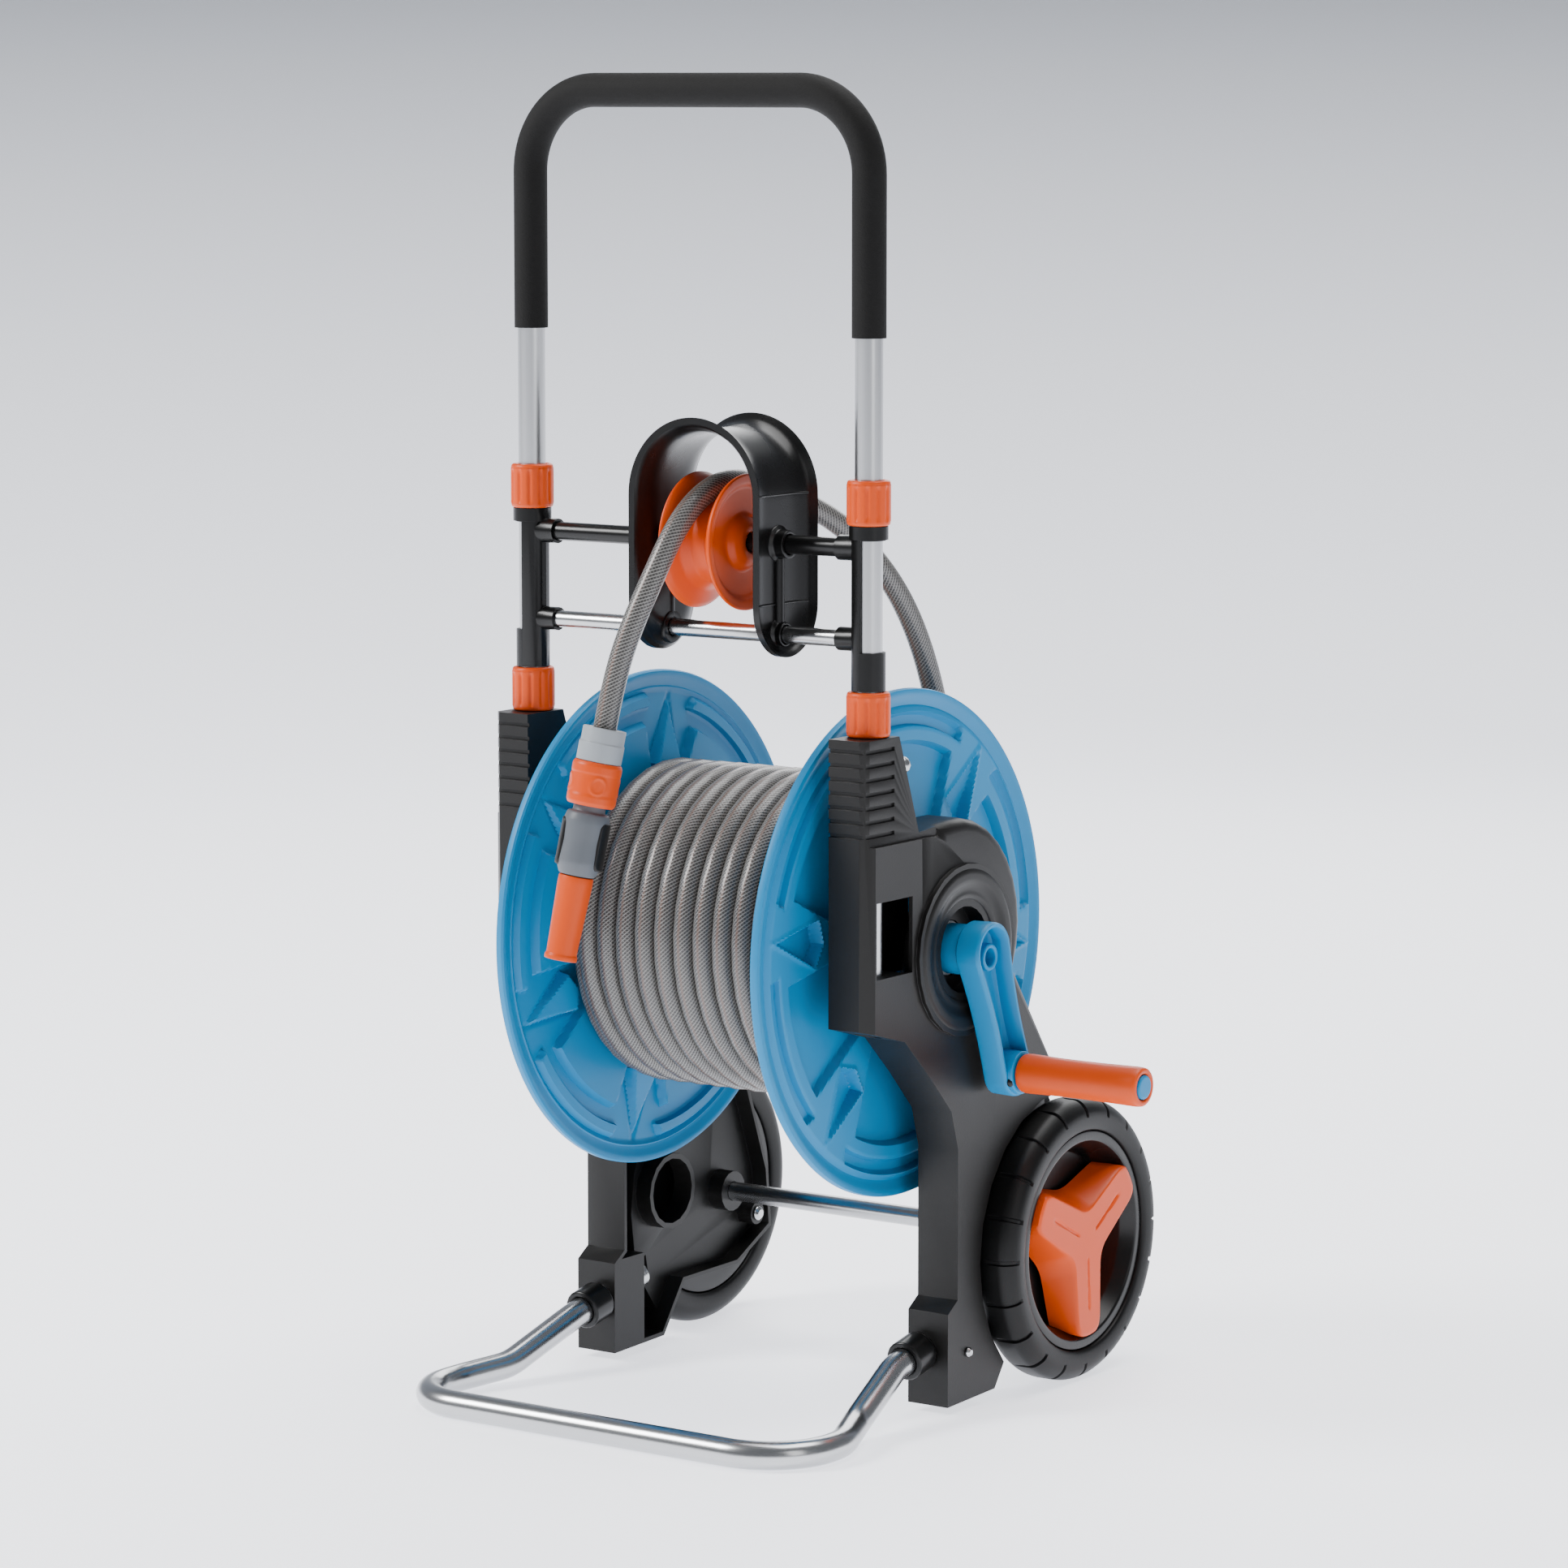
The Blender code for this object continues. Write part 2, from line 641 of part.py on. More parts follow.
def foot_collar(side):
    """The moulded ring around the loop's tube where it enters the foot."""
    front = Vector((LOOP_SOCKET_X, FOOT_FRONT_Y - LOOP_COLLAR_LENGTH - 0.012, LOOP_SOCKET_Z - 0.007))
    back = Vector((LOOP_SOCKET_X, LOOP_END_Y, LOOP_END_Z))
    way = (front - back).normalized()
    start = back + way * ((back.y - FOOT_FRONT_Y) / -way.y)
    centre = Vector((side * start.x, start.y, start.z))
    low = LOOP_COLLAR_R * abs(way.z) + 2 * GAP
    return washer(
        f"foot_collar_{side_name(side)}", LOOP_R + GAP, LOOP_COLLAR_R, centre,
        low, LOOP_COLLAR_LENGTH, way, BLACK, 20,
    )


# ---------------------------------------------------------------- handle
def handle_path(end):
    """The bent path of the handle tube."""
    corners = [
        (-LEG_X, 0, end), (-LEG_X, 0, HANDLE_TOP), (LEG_X, 0, HANDLE_TOP), (LEG_X, 0, end),
    ]
    return filleted(corners, [0, HANDLE_BEND, HANDLE_BEND, 0], 6)


def leg_plug(side):
    """The plug that closes one end of the handle tube."""
    inner = TUBE_R - TUBE_WALL - 2 * GAP
    profile = [(0, PLUG_LENGTH), (inner - 0.001, PLUG_LENGTH), (inner, PLUG_LENGTH - 0.003),
               (inner, -GAP), (TUBE_R - GAP, -GAP), (TUBE_R - GAP, -0.003), (0, -0.003)]
    centre = (side * LEG_X, 0, LEG_END - GAP)
    return turned(f"leg_plug_{side_name(side)}", profile, centre, finish=BLACK, steps=12, ring=False)


def leg_collar(side, place, low):
    """One fluted collar round a leg."""
    bevel = 0.0018
    hole = TUBE_R + RUNNING
    top = COLLAR_LENGTH
    profile = [(COLLAR_R - bevel, top), (COLLAR_R, top - bevel), (COLLAR_R, bevel),
               (COLLAR_R - bevel, 0), (hole, 0), (hole, top)]
    centre = (side * LEG_X, 0, low)
    return turned(f"{place}_collar_{side_name(side)}", profile, centre, finish=ORANGE)


def leg_bracket(side):
    """The moulded clip that holds the two cross bars on a leg."""
    name = f"leg_bracket_{side_name(side)}"
    centre = (side * LEG_X, 0, 0)
    foot = COLUMN_TOP + COLLAR_LENGTH + 3 * GAP
    low_top = LOWER_BAR_Z - 0.008
    high_low = UPPER_BAR_Z + 0.0065
    top = high_low + 0.009
    bracket = disc(name, BRACKET_LOW_R, centre, foot, top - 0.0005, finish=BLACK)
    shelf = disc(f"{name}_ring", BRACKET_RING_R, centre, high_low, top)
    roots, holes = [], []
    for label, z, radius in (("upper", UPPER_BAR_Z, UPPER_BAR_R), ("lower", LOWER_BAR_Z, LOWER_BAR_R)):
        span = sided((LEG_X - BRACKET_LOW_R - 0.011, LEG_X - 0.002), side)
        hole = sided((LEG_X - BRACKET_LOW_R - 0.02, BAR_END_X + GAP), side)
        roots.append(disc(f"{name}_{label}_root", radius + 0.0022, (0, 0, z), *span, (1, 0, 0), steps=16))
        holes.append(disc(f"{name}_{label}_hole", radius + GAP, (0, 0, z), *hole, (1, 0, 0), steps=16))
    join(bracket, shelf, *roots)
    face = sided((LEG_X + 0.001, LEG_X + 0.03), side)
    return cut(
        bracket,
        block(f"{name}_slot", (face[0], -0.03, low_top), (face[1], 0.03, high_low - 0.0006)),
        disc(f"{name}_bore", TUBE_R + RUNNING, centre, foot - 0.01, top + 0.01, steps=16),
        *holes,
    )


def cross_bars():
    """The two bars between the legs."""
    upper = disc("upper_bar", UPPER_BAR_R, (0, 0, UPPER_BAR_Z), -BAR_END_X, BAR_END_X, (1, 0, 0), BLACK, 16)
    lower = washer(
        "lower_bar", LOWER_BAR_R - 0.0012, LOWER_BAR_R, (0, 0, LOWER_BAR_Z),
        -BAR_END_X, BAR_END_X, (1, 0, 0), STEEL, 16,
    )
    return [upper, lower]


# ---------------------------------------------------------------- hose guide
def guide_housing():
    """An arch over the pulley whose two cheeks end in round lobes below the lower bar."""
    spring = GUIDE_TOP - GUIDE_HALF

    def arch(half, foot):
        """The outline of an arch of this half width, from its foot up and over."""
        turns = [math.pi * (1 - k / 20) for k in range(21)]
        arc = [(GUIDE_X + half * math.cos(a), spring + half * math.sin(a)) for a in turns]
        return [(GUIDE_X - half, foot), *arc, (GUIDE_X + half, foot)]

    depth = GUIDE_DEPTH / 2
    guide = prism("guide_housing", arch(GUIDE_HALF, GUIDE_BOTTOM - 0.01), -depth, depth, "Y", BLACK)
    hollow = arch(GUIDE_HALF - GUIDE_WALL, GUIDE_BOTTOM - 0.02)
    x_axis = (1, 0, 0)
    past = (GUIDE_X - GUIDE_HALF - 0.02, GUIDE_X + GUIDE_HALF + 0.02)
    lobe = [(-depth - 0.001, GUIDE_TOP + 0.01)]
    for k in range(13):
        turn = math.pi * k / 12
        lobe.append((-depth * math.cos(turn), GUIDE_BOTTOM + depth - depth * math.sin(turn)))
    lobe.append((depth + 0.001, GUIDE_TOP + 0.01))
    apply_boolean(guide, prism("guide_lobes", lobe, *past), "INTERSECT")
    for side in (-1, 1):
        cheek = GUIDE_X + side * (GUIDE_HALF - GUIDE_WALL / 2)
        low, high = sorted((cheek, cheek + side * 0.007))
        bosses = (("boss", GUIDE_BOSS_R, UPPER_BAR_Z), ("foot", GUIDE_FOOT_R, LOWER_BAR_Z))
        for label, radius, height in bosses:
            name = f"guide_{label}_{side_name(side)}"
            join(guide, disc(name, radius, (0, 0, height), low, high, x_axis, steps=24))
    return cut(
        guide,
        prism("guide_hollow", hollow, -depth - 0.02, depth + 0.02, "Y"),
        disc("guide_upper_hole", UPPER_BAR_R + RUNNING, (0, 0, UPPER_BAR_Z), *past, x_axis, steps=16),
        disc("guide_lower_hole", LOWER_BAR_R + RUNNING, (0, 0, LOWER_BAR_Z), *past, x_axis, steps=16),
    )


def pulley():
    """A spool with a round groove, free to turn on the upper bar."""
    groove = [(PULLEY_R, PULLEY_HALF)]
    groove.append((PULLEY_R, PULLEY_HALF - PULLEY_RIM))
    slope = PULLEY_R - PULLEY_CORE_R
    half = PULLEY_HALF - PULLEY_RIM
    for k in range(5):
        turn = math.pi * (k + 0.5) / 5
        groove.append((PULLEY_R - slope * math.sin(turn) ** 0.6, half * math.cos(turn)))
    groove += [(PULLEY_R, -half), (PULLEY_R, -PULLEY_HALF)]
    hole = UPPER_BAR_R + RUNNING
    hub = 0.014
    profile = groove + [(hub, -PULLEY_HALF), (hub, -PULLEY_HALF - 0.003), (hole, -PULLEY_HALF - 0.003),
                        (hole, PULLEY_HALF + 0.003), (hub, PULLEY_HALF + 0.003), (hub, PULLEY_HALF)]
    return turned("pulley", profile, (GUIDE_X, 0, UPPER_BAR_Z), (1, 0, 0), ORANGE, 20)


# ---------------------------------------------------------------- hose and fittings
def winding():
    """The outer shape of all the hose's layers on the core."""
    outer = CORE_R + GAP + 2 * HOSE_R + (HOSE_LAYERS - 1) * LAYER_STEP
    half = FLANGE_INNER_X - 0.001
    return washer("hose_winding", CORE_R + GAP, outer, (0, DRUM_Y, DRUM_Z), -half, half, (1, 0, 0), HOSE, 32)


def fittings():
    """Nut, release ring, coupler body with its two pads, and nozzle, in a line below the hose's end."""
    path = smooth_route(HOSE_ROUTE, HOSE_POINT_SPACING)
    end = Vector(path[-1])
    way = (end - Vector(path[-2])).normalized()
    pieces = {}
    start = GAP
    end_of_nut = start + NUT_LENGTH
    profile = [(NUT_R * 0.92, -start), (NUT_R * 0.92, -NUT_LENGTH * 0.45), (NUT_R, -NUT_LENGTH * 0.5),
               (NUT_R, -end_of_nut)]
    up = -way
    pieces["nut"] = turned(
        "hose_nut", [(0, -start)] + profile + [(0, -end_of_nut)], end, up, PALE, 20, ring=False
    )
    neck = 0.011
    ring_low = end_of_nut + GAP
    ring_high = ring_low + RING_LENGTH
    body_low = ring_high + RELEASE_TRAVEL + GAP
    body_high = body_low + BODY_LENGTH - RELEASE_TRAVEL
    profile = [(RING_R - 0.002, -ring_low), (RING_R, -ring_low - 0.002), (RING_R, -ring_high + 0.006),
               (RING_R - 0.0015, -ring_high), (neck + RUNNING, -ring_high), (neck + RUNNING, -ring_low)]
    pieces["ring"] = turned("release_ring", profile, end, up, ORANGE, 20)
    shoulder = BODY_R - 0.002
    profile = [(0, -ring_low), (neck, -ring_low), (neck, -body_low), (shoulder, -body_low),
               (BODY_R, -body_low - 0.006), (BODY_R, -body_high + 0.008), (NOZZLE_ROOT_R + 0.001, -body_high),
               (0, -body_high)]
    body = turned("coupler_body", profile, end, up, GREY, 20, ring=False)
    middle = end + way * (body_low + body_high) / 2
    for side in (-1, 1):
        pad = pad_block(f"coupler_pad_{side_name(side)}", middle, side, 0.0, BLACK)
        seat = pad_block(f"coupler_seat_{side_name(side)}", middle, side, GAP, None)
        cut(body, seat)
        pieces[side] = pad
    tip = body_high + GAP + NOZZLE_LENGTH
    profile = [(0, -body_high - GAP), (NOZZLE_ROOT_R, -body_high - GAP), (NOZZLE_TIP_R, -tip + 0.003),
               (NOZZLE_TIP_R + 0.0008, -tip + 0.002), (NOZZLE_TIP_R + 0.0008, -tip), (0.006, -tip),
               (0.006, -tip + 0.035), (0, -tip + 0.035)]
    pieces["nozzle"] = turned("nozzle", profile, end, up, ORANGE, 20, ring=False)
    pieces["body"] = body
    return pieces


def pad_block(name, middle, side, grow, finish):
    """A soft grip pad set into one flank of the coupler body."""
    half = Vector((0.0035, 0.006, 0.015)) + Vector((grow, grow, grow))
    centre = Vector((side * (BODY_R - 0.001), 0, 0))
    obj = block(name, centre - half, centre + half, finish)
    obj.matrix_world = Matrix.Translation(middle)
    return obj


# ---------------------------------------------------------------- drum
def flange(side):
    """A dished disc with a stiff rolled rim, closing one end of the core."""
    inner = FLANGE_INNER_X
    rim = FLANGE_OUTER_X
    wall = FLANGE_WALL
    dish = 0.008
    hole = SPINDLE_R + GAP
    hub_r = CORE_R - CORE_WALL - GAP
    profile = [
        (hole, inner + dish + wall), (hub_r, inner + dish + wall), (hub_r + 0.030, inner + wall),
        (FLANGE_R - 0.014, inner + wall), (FLANGE_R - 0.010, rim), (FLANGE_R - 0.002, rim),
        (FLANGE_R, rim - 0.002), (FLANGE_R, inner), (hub_r, inner), (hub_r, inner - 0.006),
        (hub_r - 0.003, inner - 0.006), (SPINDLE_R + 0.010, inner + dish), (hole, inner + dish),
    ]
    return turned(
        f"flange_{side_name(side)}", profile, (0, DRUM_Y, DRUM_Z), (side, 0, 0), BLUE, DRUM_STEPS
    )


def drum_core():
    """The hollow core that the hose is wound on."""
    half = FLANGE_INNER_X - GAP
    return washer(
        "drum_core", CORE_R - CORE_WALL, CORE_R, (0, DRUM_Y, DRUM_Z), -half, half, (1, 0, 0), BLUE, DRUM_STEPS
    )


def spindle(side):
    """The stub shaft of one flange, which turns in the frame's bush. The left one carries water."""
    centre = (0, DRUM_Y, DRUM_Z)
    root = FLANGE_INNER_X + 0.006 - GAP
    end = FRAME_OUTER_X - HUB_RECESS_DEPTH - GAP
    foot = root - 0.012
    shape = [(SPINDLE_R, end), (SPINDLE_R, foot)]
    name = f"spindle_{side_name(side)}"
    if side > 0:
        solid = [(0, end), *shape, (0, foot)]
        return turned(name, solid, centre, (1, 0, 0), BLUE, 20, ring=False)
    bore = WATERWAY_R + 0.0015
    return turned(name, shape + [(bore, foot), (bore, end)], centre, (-1, 0, 0), BLUE, 20)


def bush(side):
    """The bush that a spindle turns in."""
    low = FRAME_INNER_X - 0.002
    high = FRAME_OUTER_X - HUB_RECESS_DEPTH - GAP
    hole = SPINDLE_R + RUNNING
    outer = hole + BUSH_WALL - GAP
    profile = [(outer, high), (outer, FRAME_INNER_X - GAP), (outer + 0.004, FRAME_INNER_X - GAP),
               (outer + 0.004, low), (hole, low), (hole, high)]
    return turned(f"drum_bush_{side_name(side)}", profile, (0, DRUM_Y, DRUM_Z), (side, 0, 0), PALE, 20)


def drum_elbow():
    """The barbed elbow inside the core that takes water from the left spindle to the hose."""
    x = -FLANGE_INNER_X - 0.006 + 0.012 + 2 * GAP + 0.002
    rise = CORE_R - CORE_WALL - 0.0015
    corners = [(x, DRUM_Y, DRUM_Z), (x + 0.028, DRUM_Y, DRUM_Z), (x + 0.028, DRUM_Y, DRUM_Z + rise)]
    return tube("drum_elbow", filleted(corners, [0, 0.012, 0], 4), WATERWAY_R + 0.002, GREY, resolution=3)


# ---------------------------------------------------------------- crank
def crank_pin():
    """Where the grip turns, in the plane X = 0."""
    down, back = math.cos(CRANK_LEAN), math.sin(CRANK_LEAN)
    return Vector((0, DRUM_Y + CRANK_REACH * back, DRUM_Z - CRANK_REACH * down))


def crank_arm():
    """A channel-shaped arm from a round boss on the spindle to a smaller one at the grip."""
    x_axis = (1, 0, 0)
    hub = Vector((0, DRUM_Y, DRUM_Z))
    pin = crank_pin()
    way = (pin - hub).normalized()
    across = Vector((0, -way.z, way.y))
    low, high = CRANK_X, CRANK_X + CRANK_DEPTH

    def strip(name, root, tip, x0, x1, ends=(0.0, 1.0)):
        """One strip of the arm, between two shares of the way to the pin."""
        a = hub + (pin - hub) * ends[0]
        b = hub + (pin - hub) * ends[1]
        corners = [a + across * root, b + across * tip, b - across * tip, a - across * root]
        return prism(name, [(p.y, p.z) for p in corners], x0, x1)

    boss_low = FRAME_OUTER_X - HUB_RECESS_DEPTH + 2 * GAP
    arm = disc("crank_arm", CRANK_ROOT_R, hub, boss_low, high, x_axis, BLUE, 20)
    join(arm, strip("crank_web", CRANK_ROOT_R - 0.004, CRANK_TIP_R - 0.004, low, high))
    join(arm, disc("crank_tip", CRANK_TIP_R, pin, low, high, x_axis, steps=16))
    wall = 0.0035
    floor = low + 0.005
    pocket = strip(
        "crank_channel", CRANK_ROOT_R - 0.004 - wall, CRANK_TIP_R - 0.004 - wall, floor, high + 0.01,
        (0.10, 0.76),
    )
    hole = disc("crank_pin_hole", GRIP_SPINDLE_R + GAP, pin, low + 0.004, high + 0.01, x_axis, steps=16)
    screw_hole = disc("crank_screw_hole", SCREW_R + GAP, crank_screw_place(), high - SCREW_LENGTH - GAP,
                      high + 0.01, x_axis, steps=12)
    return cut(arm, pocket, hole, screw_hole)


def crank_screw_place():
    """Where the crank screw goes."""
    pin = crank_pin()
    return 0, pin.y - 0.0125, pin.z - 0.005


def grip_spindle():
    """The pin that the grip turns on."""
    start = CRANK_X + 0.004 + GAP
    end = CRANK_X + CRANK_DEPTH + 0.004 + GRIP_LENGTH
    profile = [(0, end), (GRIP_HEAD_R - 0.001, end), (GRIP_HEAD_R, end - 0.001), (GRIP_HEAD_R, end - 0.004),
               (GRIP_SPINDLE_R, end - 0.004), (GRIP_SPINDLE_R, start), (0, start)]
    return turned("grip_spindle", profile, crank_pin(), (1, 0, 0), BLUE, 20, ring=False)


def crank_grip():
    """The sleeve that the hand holds."""
    start = CRANK_X + CRANK_DEPTH + 0.004
    end = start + GRIP_LENGTH - 0.001
    hole = GRIP_SPINDLE_R + RUNNING
    head = GRIP_HEAD_R + RUNNING
    floor = start + GRIP_LENGTH - 0.004 - RUNNING
    profile = [(GRIP_R - 0.0015, end), (GRIP_R, end - 0.002), (GRIP_R - 0.0006, (start + end) / 2),
               (GRIP_R, start + 0.002), (GRIP_R - 0.0015, start), (hole, start), (hole, floor),
               (head, floor), (head, end)]
    return turned("crank_grip", profile, crank_pin(), (1, 0, 0), ORANGE, 20)


# ---------------------------------------------------------------- wheels
def wheel_axle():
    """The axle of both wheels."""
    return disc("wheel_axle", AXLE_R, (0, WHEEL_Y, WHEEL_R), -AXLE_END, AXLE_END, (1, 0, 0), STEEL, 16)


def axle_cap(side):
    """The push-on cap that keeps the wheel on its axle."""
    low = AXLE_END - 0.006
    profile = [(0, AXLE_END + 0.0035), (0.008, AXLE_END + 0.0035), (0.010, AXLE_END + 0.001),
               (0.010, low + 0.0036 + GAP), (AXLE_R + GAP, low + 0.0036 + GAP),
               (AXLE_R + GAP, AXLE_END + GAP), (0, AXLE_END + GAP)]
    centre = (0, WHEEL_Y, WHEEL_R)
    return turned(f"axle_cap_{side_name(side)}", profile, centre, (side, 0, 0), STEEL, 16, ring=False)


def tyre(side):
    """One tyre, round at its tread."""
    low, high = WHEEL_INNER_X, WHEEL_INNER_X + WHEEL_WIDTH
    hole = RIM_R + GAP
    edge = WHEEL_R - 0.012
    profile = [(hole, high - 0.003), (hole + 0.004, high), (edge, high), (WHEEL_R - 0.004, high - 0.004),
               (WHEEL_R, high - 0.011), (WHEEL_R, low + 0.011), (WHEEL_R - 0.004, low + 0.004),
               (edge, low), (hole + 0.004, low), (hole, low + 0.003)]
    centre = (0, WHEEL_Y, WHEEL_R)
    return turned(f"tyre_{side_name(side)}", profile, centre, (side, 0, 0), TYRE, WHEEL_STEPS)


def rim(side):
    """The wheel's moulded barrel, its web and its hub, which runs on the axle."""
    low, high = WHEEL_INNER_X + 0.003, WHEEL_INNER_X + WHEEL_WIDTH - 0.003
    web = low + 0.006
    hub_end = AXLE_END - 0.006 + 0.0036 - RUNNING
    hole = AXLE_R + RUNNING
    inside = RIM_OPENING_R
    profile = [(RIM_R, high), (RIM_R, low), (inside + 0.004, low), (WHEEL_HUB_R, low + 0.002),
               (WHEEL_HUB_R, WHEEL_INNER_X + 0.0005), (hole, WHEEL_INNER_X + 0.0005), (hole, hub_end),
               (WHEEL_HUB_R, hub_end), (WHEEL_HUB_R, web), (inside, web), (inside, high - 0.002),
               (inside + 0.003, high)]
    centre = (0, WHEEL_Y, WHEEL_R)
    return turned(f"rim_{side_name(side)}", profile, centre, (side, 0, 0), BLACK, WHEEL_STEPS)


def spider(side):
    """The three-armed cover clipped into the wheel over its hub."""
    name = f"spider_{side_name(side)}"
    centre = Vector((0, WHEEL_Y, WHEEL_R))
    web_top = WHEEL_INNER_X + 0.003 + 0.006
    low, high = sided((web_top + 0.004, WHEEL_INNER_X + WHEEL_WIDTH - 0.001), side)
    outline = []
    reach = min(SPIDER_REACH, RIM_OPENING_R) - 0.002
    for arm in range(3):
        turn = SPIDER_START + arm * math.tau / 3
        out = Vector((math.cos(turn), math.sin(turn)))
        across = Vector((-out.y, out.x))
        mid = Vector((math.cos(turn + math.pi / 3), math.sin(turn + math.pi / 3)))
        tip, edge = out * reach * 0.96, across * SPIDER_ARM * 0.46
        outline += [tip - edge, tip + edge, mid * 0.024]
    outline = [(centre.y + p.x, centre.z + p.y) for p in outline]
    body = prism(name, outline, low, high, finish=ORANGE)
    back = sided((web_top - 0.01, AXLE_END + 0.005), side)
    return cut(body, disc(f"{name}_pocket", WHEEL_HUB_R + 0.001, centre, *back, (1, 0, 0)))


# ---------------------------------------------------------------- water inlet
def inlet():
    """The swivel elbow on the left spindle, its seal, and the tail a supply hose clips to."""
    axis_y, axis_z = DRUM_Y, DRUM_Z
    face = FRAME_OUTER_X + 0.004
    spigot = WATERWAY_R
    drop = axis_z - INLET_DROP + INLET_TAIL_LENGTH
    corners = [(-face, axis_y, axis_z), (-INLET_X, axis_y, axis_z), (-INLET_X, axis_y, drop)]
    elbow = tube("inlet_elbow", filleted(corners, [0, 0.012, 0], 4), INLET_R, GREY, solid_mesh=True)
    inner = FRAME_OUTER_X - HUB_RECESS_DEPTH - 0.016
    stem = disc("inlet_spigot", spigot, (0, axis_y, axis_z), inner, face + 0.004, (-1, 0, 0), steps=16)
    join(elbow, stem)
    seal_low = inner + 0.004
    seal = washer(
        "inlet_seal", spigot + GAP, WATERWAY_R + 0.0015 - GAP, (0, axis_y, axis_z),
        seal_low, seal_low + 0.003, (-1, 0, 0), FOAM, 16,
    )
    top = axis_z - INLET_DROP + INLET_TAIL_LENGTH - GAP
    low = axis_z - INLET_DROP
    r = INLET_TAIL_R
    profile = [(0, top), (INLET_R - 0.001, top), (INLET_R - 0.001, top - 0.006), (r, top - 0.006),
               (r, low + 0.007), (r - 0.0015, low + 0.006), (r - 0.0015, low + 0.004), (r, low + 0.003),
               (r - 0.001, low), (0.0045, low), (0.0045, top - 0.004), (0, top - 0.004)]
    tail = turned("inlet_tail", profile, (-INLET_X, axis_y, 0), finish=ORANGE, steps=16, ring=False)
    return [elbow, seal, tail]


# ---------------------------------------------------------------- assembly
def hold(parent, place, name, pieces):
    """An empty at the place, which the pieces hang on without moving."""
    empty = bpy.data.objects.new(name, None)
    bpy.data.collections[PARTS].objects.link(empty)
    empty.parent = parent
    empty.matrix_world = Matrix.Translation(place)
    bpy.context.view_layer.update()
    for piece in pieces:
        keep_place(piece, empty)
    return empty


def stand_on_ground(root):
    """Moves the cart so that the box of all but the hose is centred over the origin, on the ground."""
    bpy.context.view_layer.update()
    graph = bpy.context.evaluated_depsgraph_get()
    low, high = np.full(3, np.inf), np.full(3, -np.inf)
    for obj in bpy.data.collections[PARTS].objects:
        if obj.type == "EMPTY" or obj.name in CORD_NODES:
            continue
        evaluated = obj.evaluated_get(graph)
        mesh = evaluated.to_mesh()
        points = np.array([evaluated.matrix_world @ v.co for v in mesh.vertices])
        low, high = np.minimum(low, points.min(axis=0)), np.maximum(high, points.max(axis=0))
        evaluated.to_mesh_clear()
    root.location = (-(low[0] + high[0]) / 2, -(low[1] + high[1]) / 2, -low[2])


def build():
    """Make every node in order."""
    clear_scene()
    root = bpy.data.objects.new("cart", None)
    bpy.data.collections[PARTS].objects.link(root)
    sides = (-1, 1)
    hub = (0, DRUM_Y, DRUM_Z)
    low_collar = COLUMN_TOP + GAP
    high_collar = UPPER_BAR_Z + 0.0065 + 0.009 + GAP
    frames = [side_frame(s) for s in sides]
    chassis = frames + [bush(s) for s in sides] + [foot_loop()] + [foot_collar(s) for s in sides]
    chassis += [wheel_axle()] + [axle_cap(s) for s in sides]
    chassis += [leg_bracket(s) for s in sides] + cross_bars() + [ball_stud(s) for s in sides]
    for s in sides:
        rear, foot = rear_screw_place(), foot_screw_place()
        chassis.append(screw(f"rear_screw_{side_name(s)}", rear, FRAME_INNER_X, s, 1))
        chassis.append(screw(f"foot_screw_{side_name(s)}", foot, FRAME_OUTER_X, s, -1, head_r=0.0035))
    hold(root, (0, 0, 0), "chassis", chassis)
    handle = [
        tube("handle_tube", handle_path(LEG_END), TUBE_R, ALUMINIUM, TUBE_WALL, 3),
        tube("foam_grip", handle_path(FOAM_END), TUBE_R + GAP + FOAM_WALL, FOAM, FOAM_WALL, 3),
    ]
    hold(root, (0, 0, LEG_END), "handle", handle + [leg_plug(s) for s in sides])
    for s in sides:
        for place, z in (("lower", low_collar), ("upper", high_collar)):
            hold(root, (s * LEG_X, 0, z), f"{place}_{side_name(s)}_twist", [leg_collar(s, place, z)])
    ends = fittings()
    route = smooth_route(HOSE_ROUTE, HOSE_POINT_SPACING)
    guide = [guide_housing(), tube("hose_free", route, HOSE_R, HOSE, resolution=2)]
    guide += [ends["nut"], ends["body"], ends[-1], ends[1]]
    guide_empty = hold(root, (GUIDE_X, 0, UPPER_BAR_Z), "guide", guide)
    hold(guide_empty, (GUIDE_X, 0, UPPER_BAR_Z), "pulley_turn", [pulley()])
    hold(guide_empty, route[-1], "nozzle_turn", [ends["nozzle"]])
    hold(guide_empty, route[-1], "release", [ends["ring"]])
    drum = [flange(s) for s in sides] + [spindle(s) for s in sides]
    drum += [drum_core(), winding(), drum_elbow(), crank_arm(), grip_spindle()]
    drum.append(screw("crank_screw", crank_screw_place(), CRANK_X + CRANK_DEPTH, 1, -1, BLACK, 0.0035))
    drum_empty = hold(root, hub, "drum", drum)
    hold(drum_empty, crank_pin(), "grip_turn", [crank_grip()])
    hold(root, hub, "inlet_turn", inlet())
    for s in sides:
        hold(root, (0, WHEEL_Y, WHEEL_R), f"wheel_{side_name(s)}", [tyre(s), rim(s), spider(s)])
    stand_on_ground(root)


build()
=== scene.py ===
"""The looks of a garden hose reel cart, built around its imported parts.

Two moulded side frames carry a drum of braided hose, a bent aluminium handle with a foam grip, a
sliding hose guide, a steel foot loop and two wheels. Sizes are in metres. Points are worked out in
the cart's own coordinates (X = 0 midway between the frames, Y = 0 in the plane of the legs, Z = 0
on the ground, +X on the crank's side and +Y on the wheels' side) and moved once, when they become
a mesh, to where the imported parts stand.
"""

import logging
import math
from collections.abc import Callable, Iterable
from dataclasses import dataclass, field
from enum import Enum

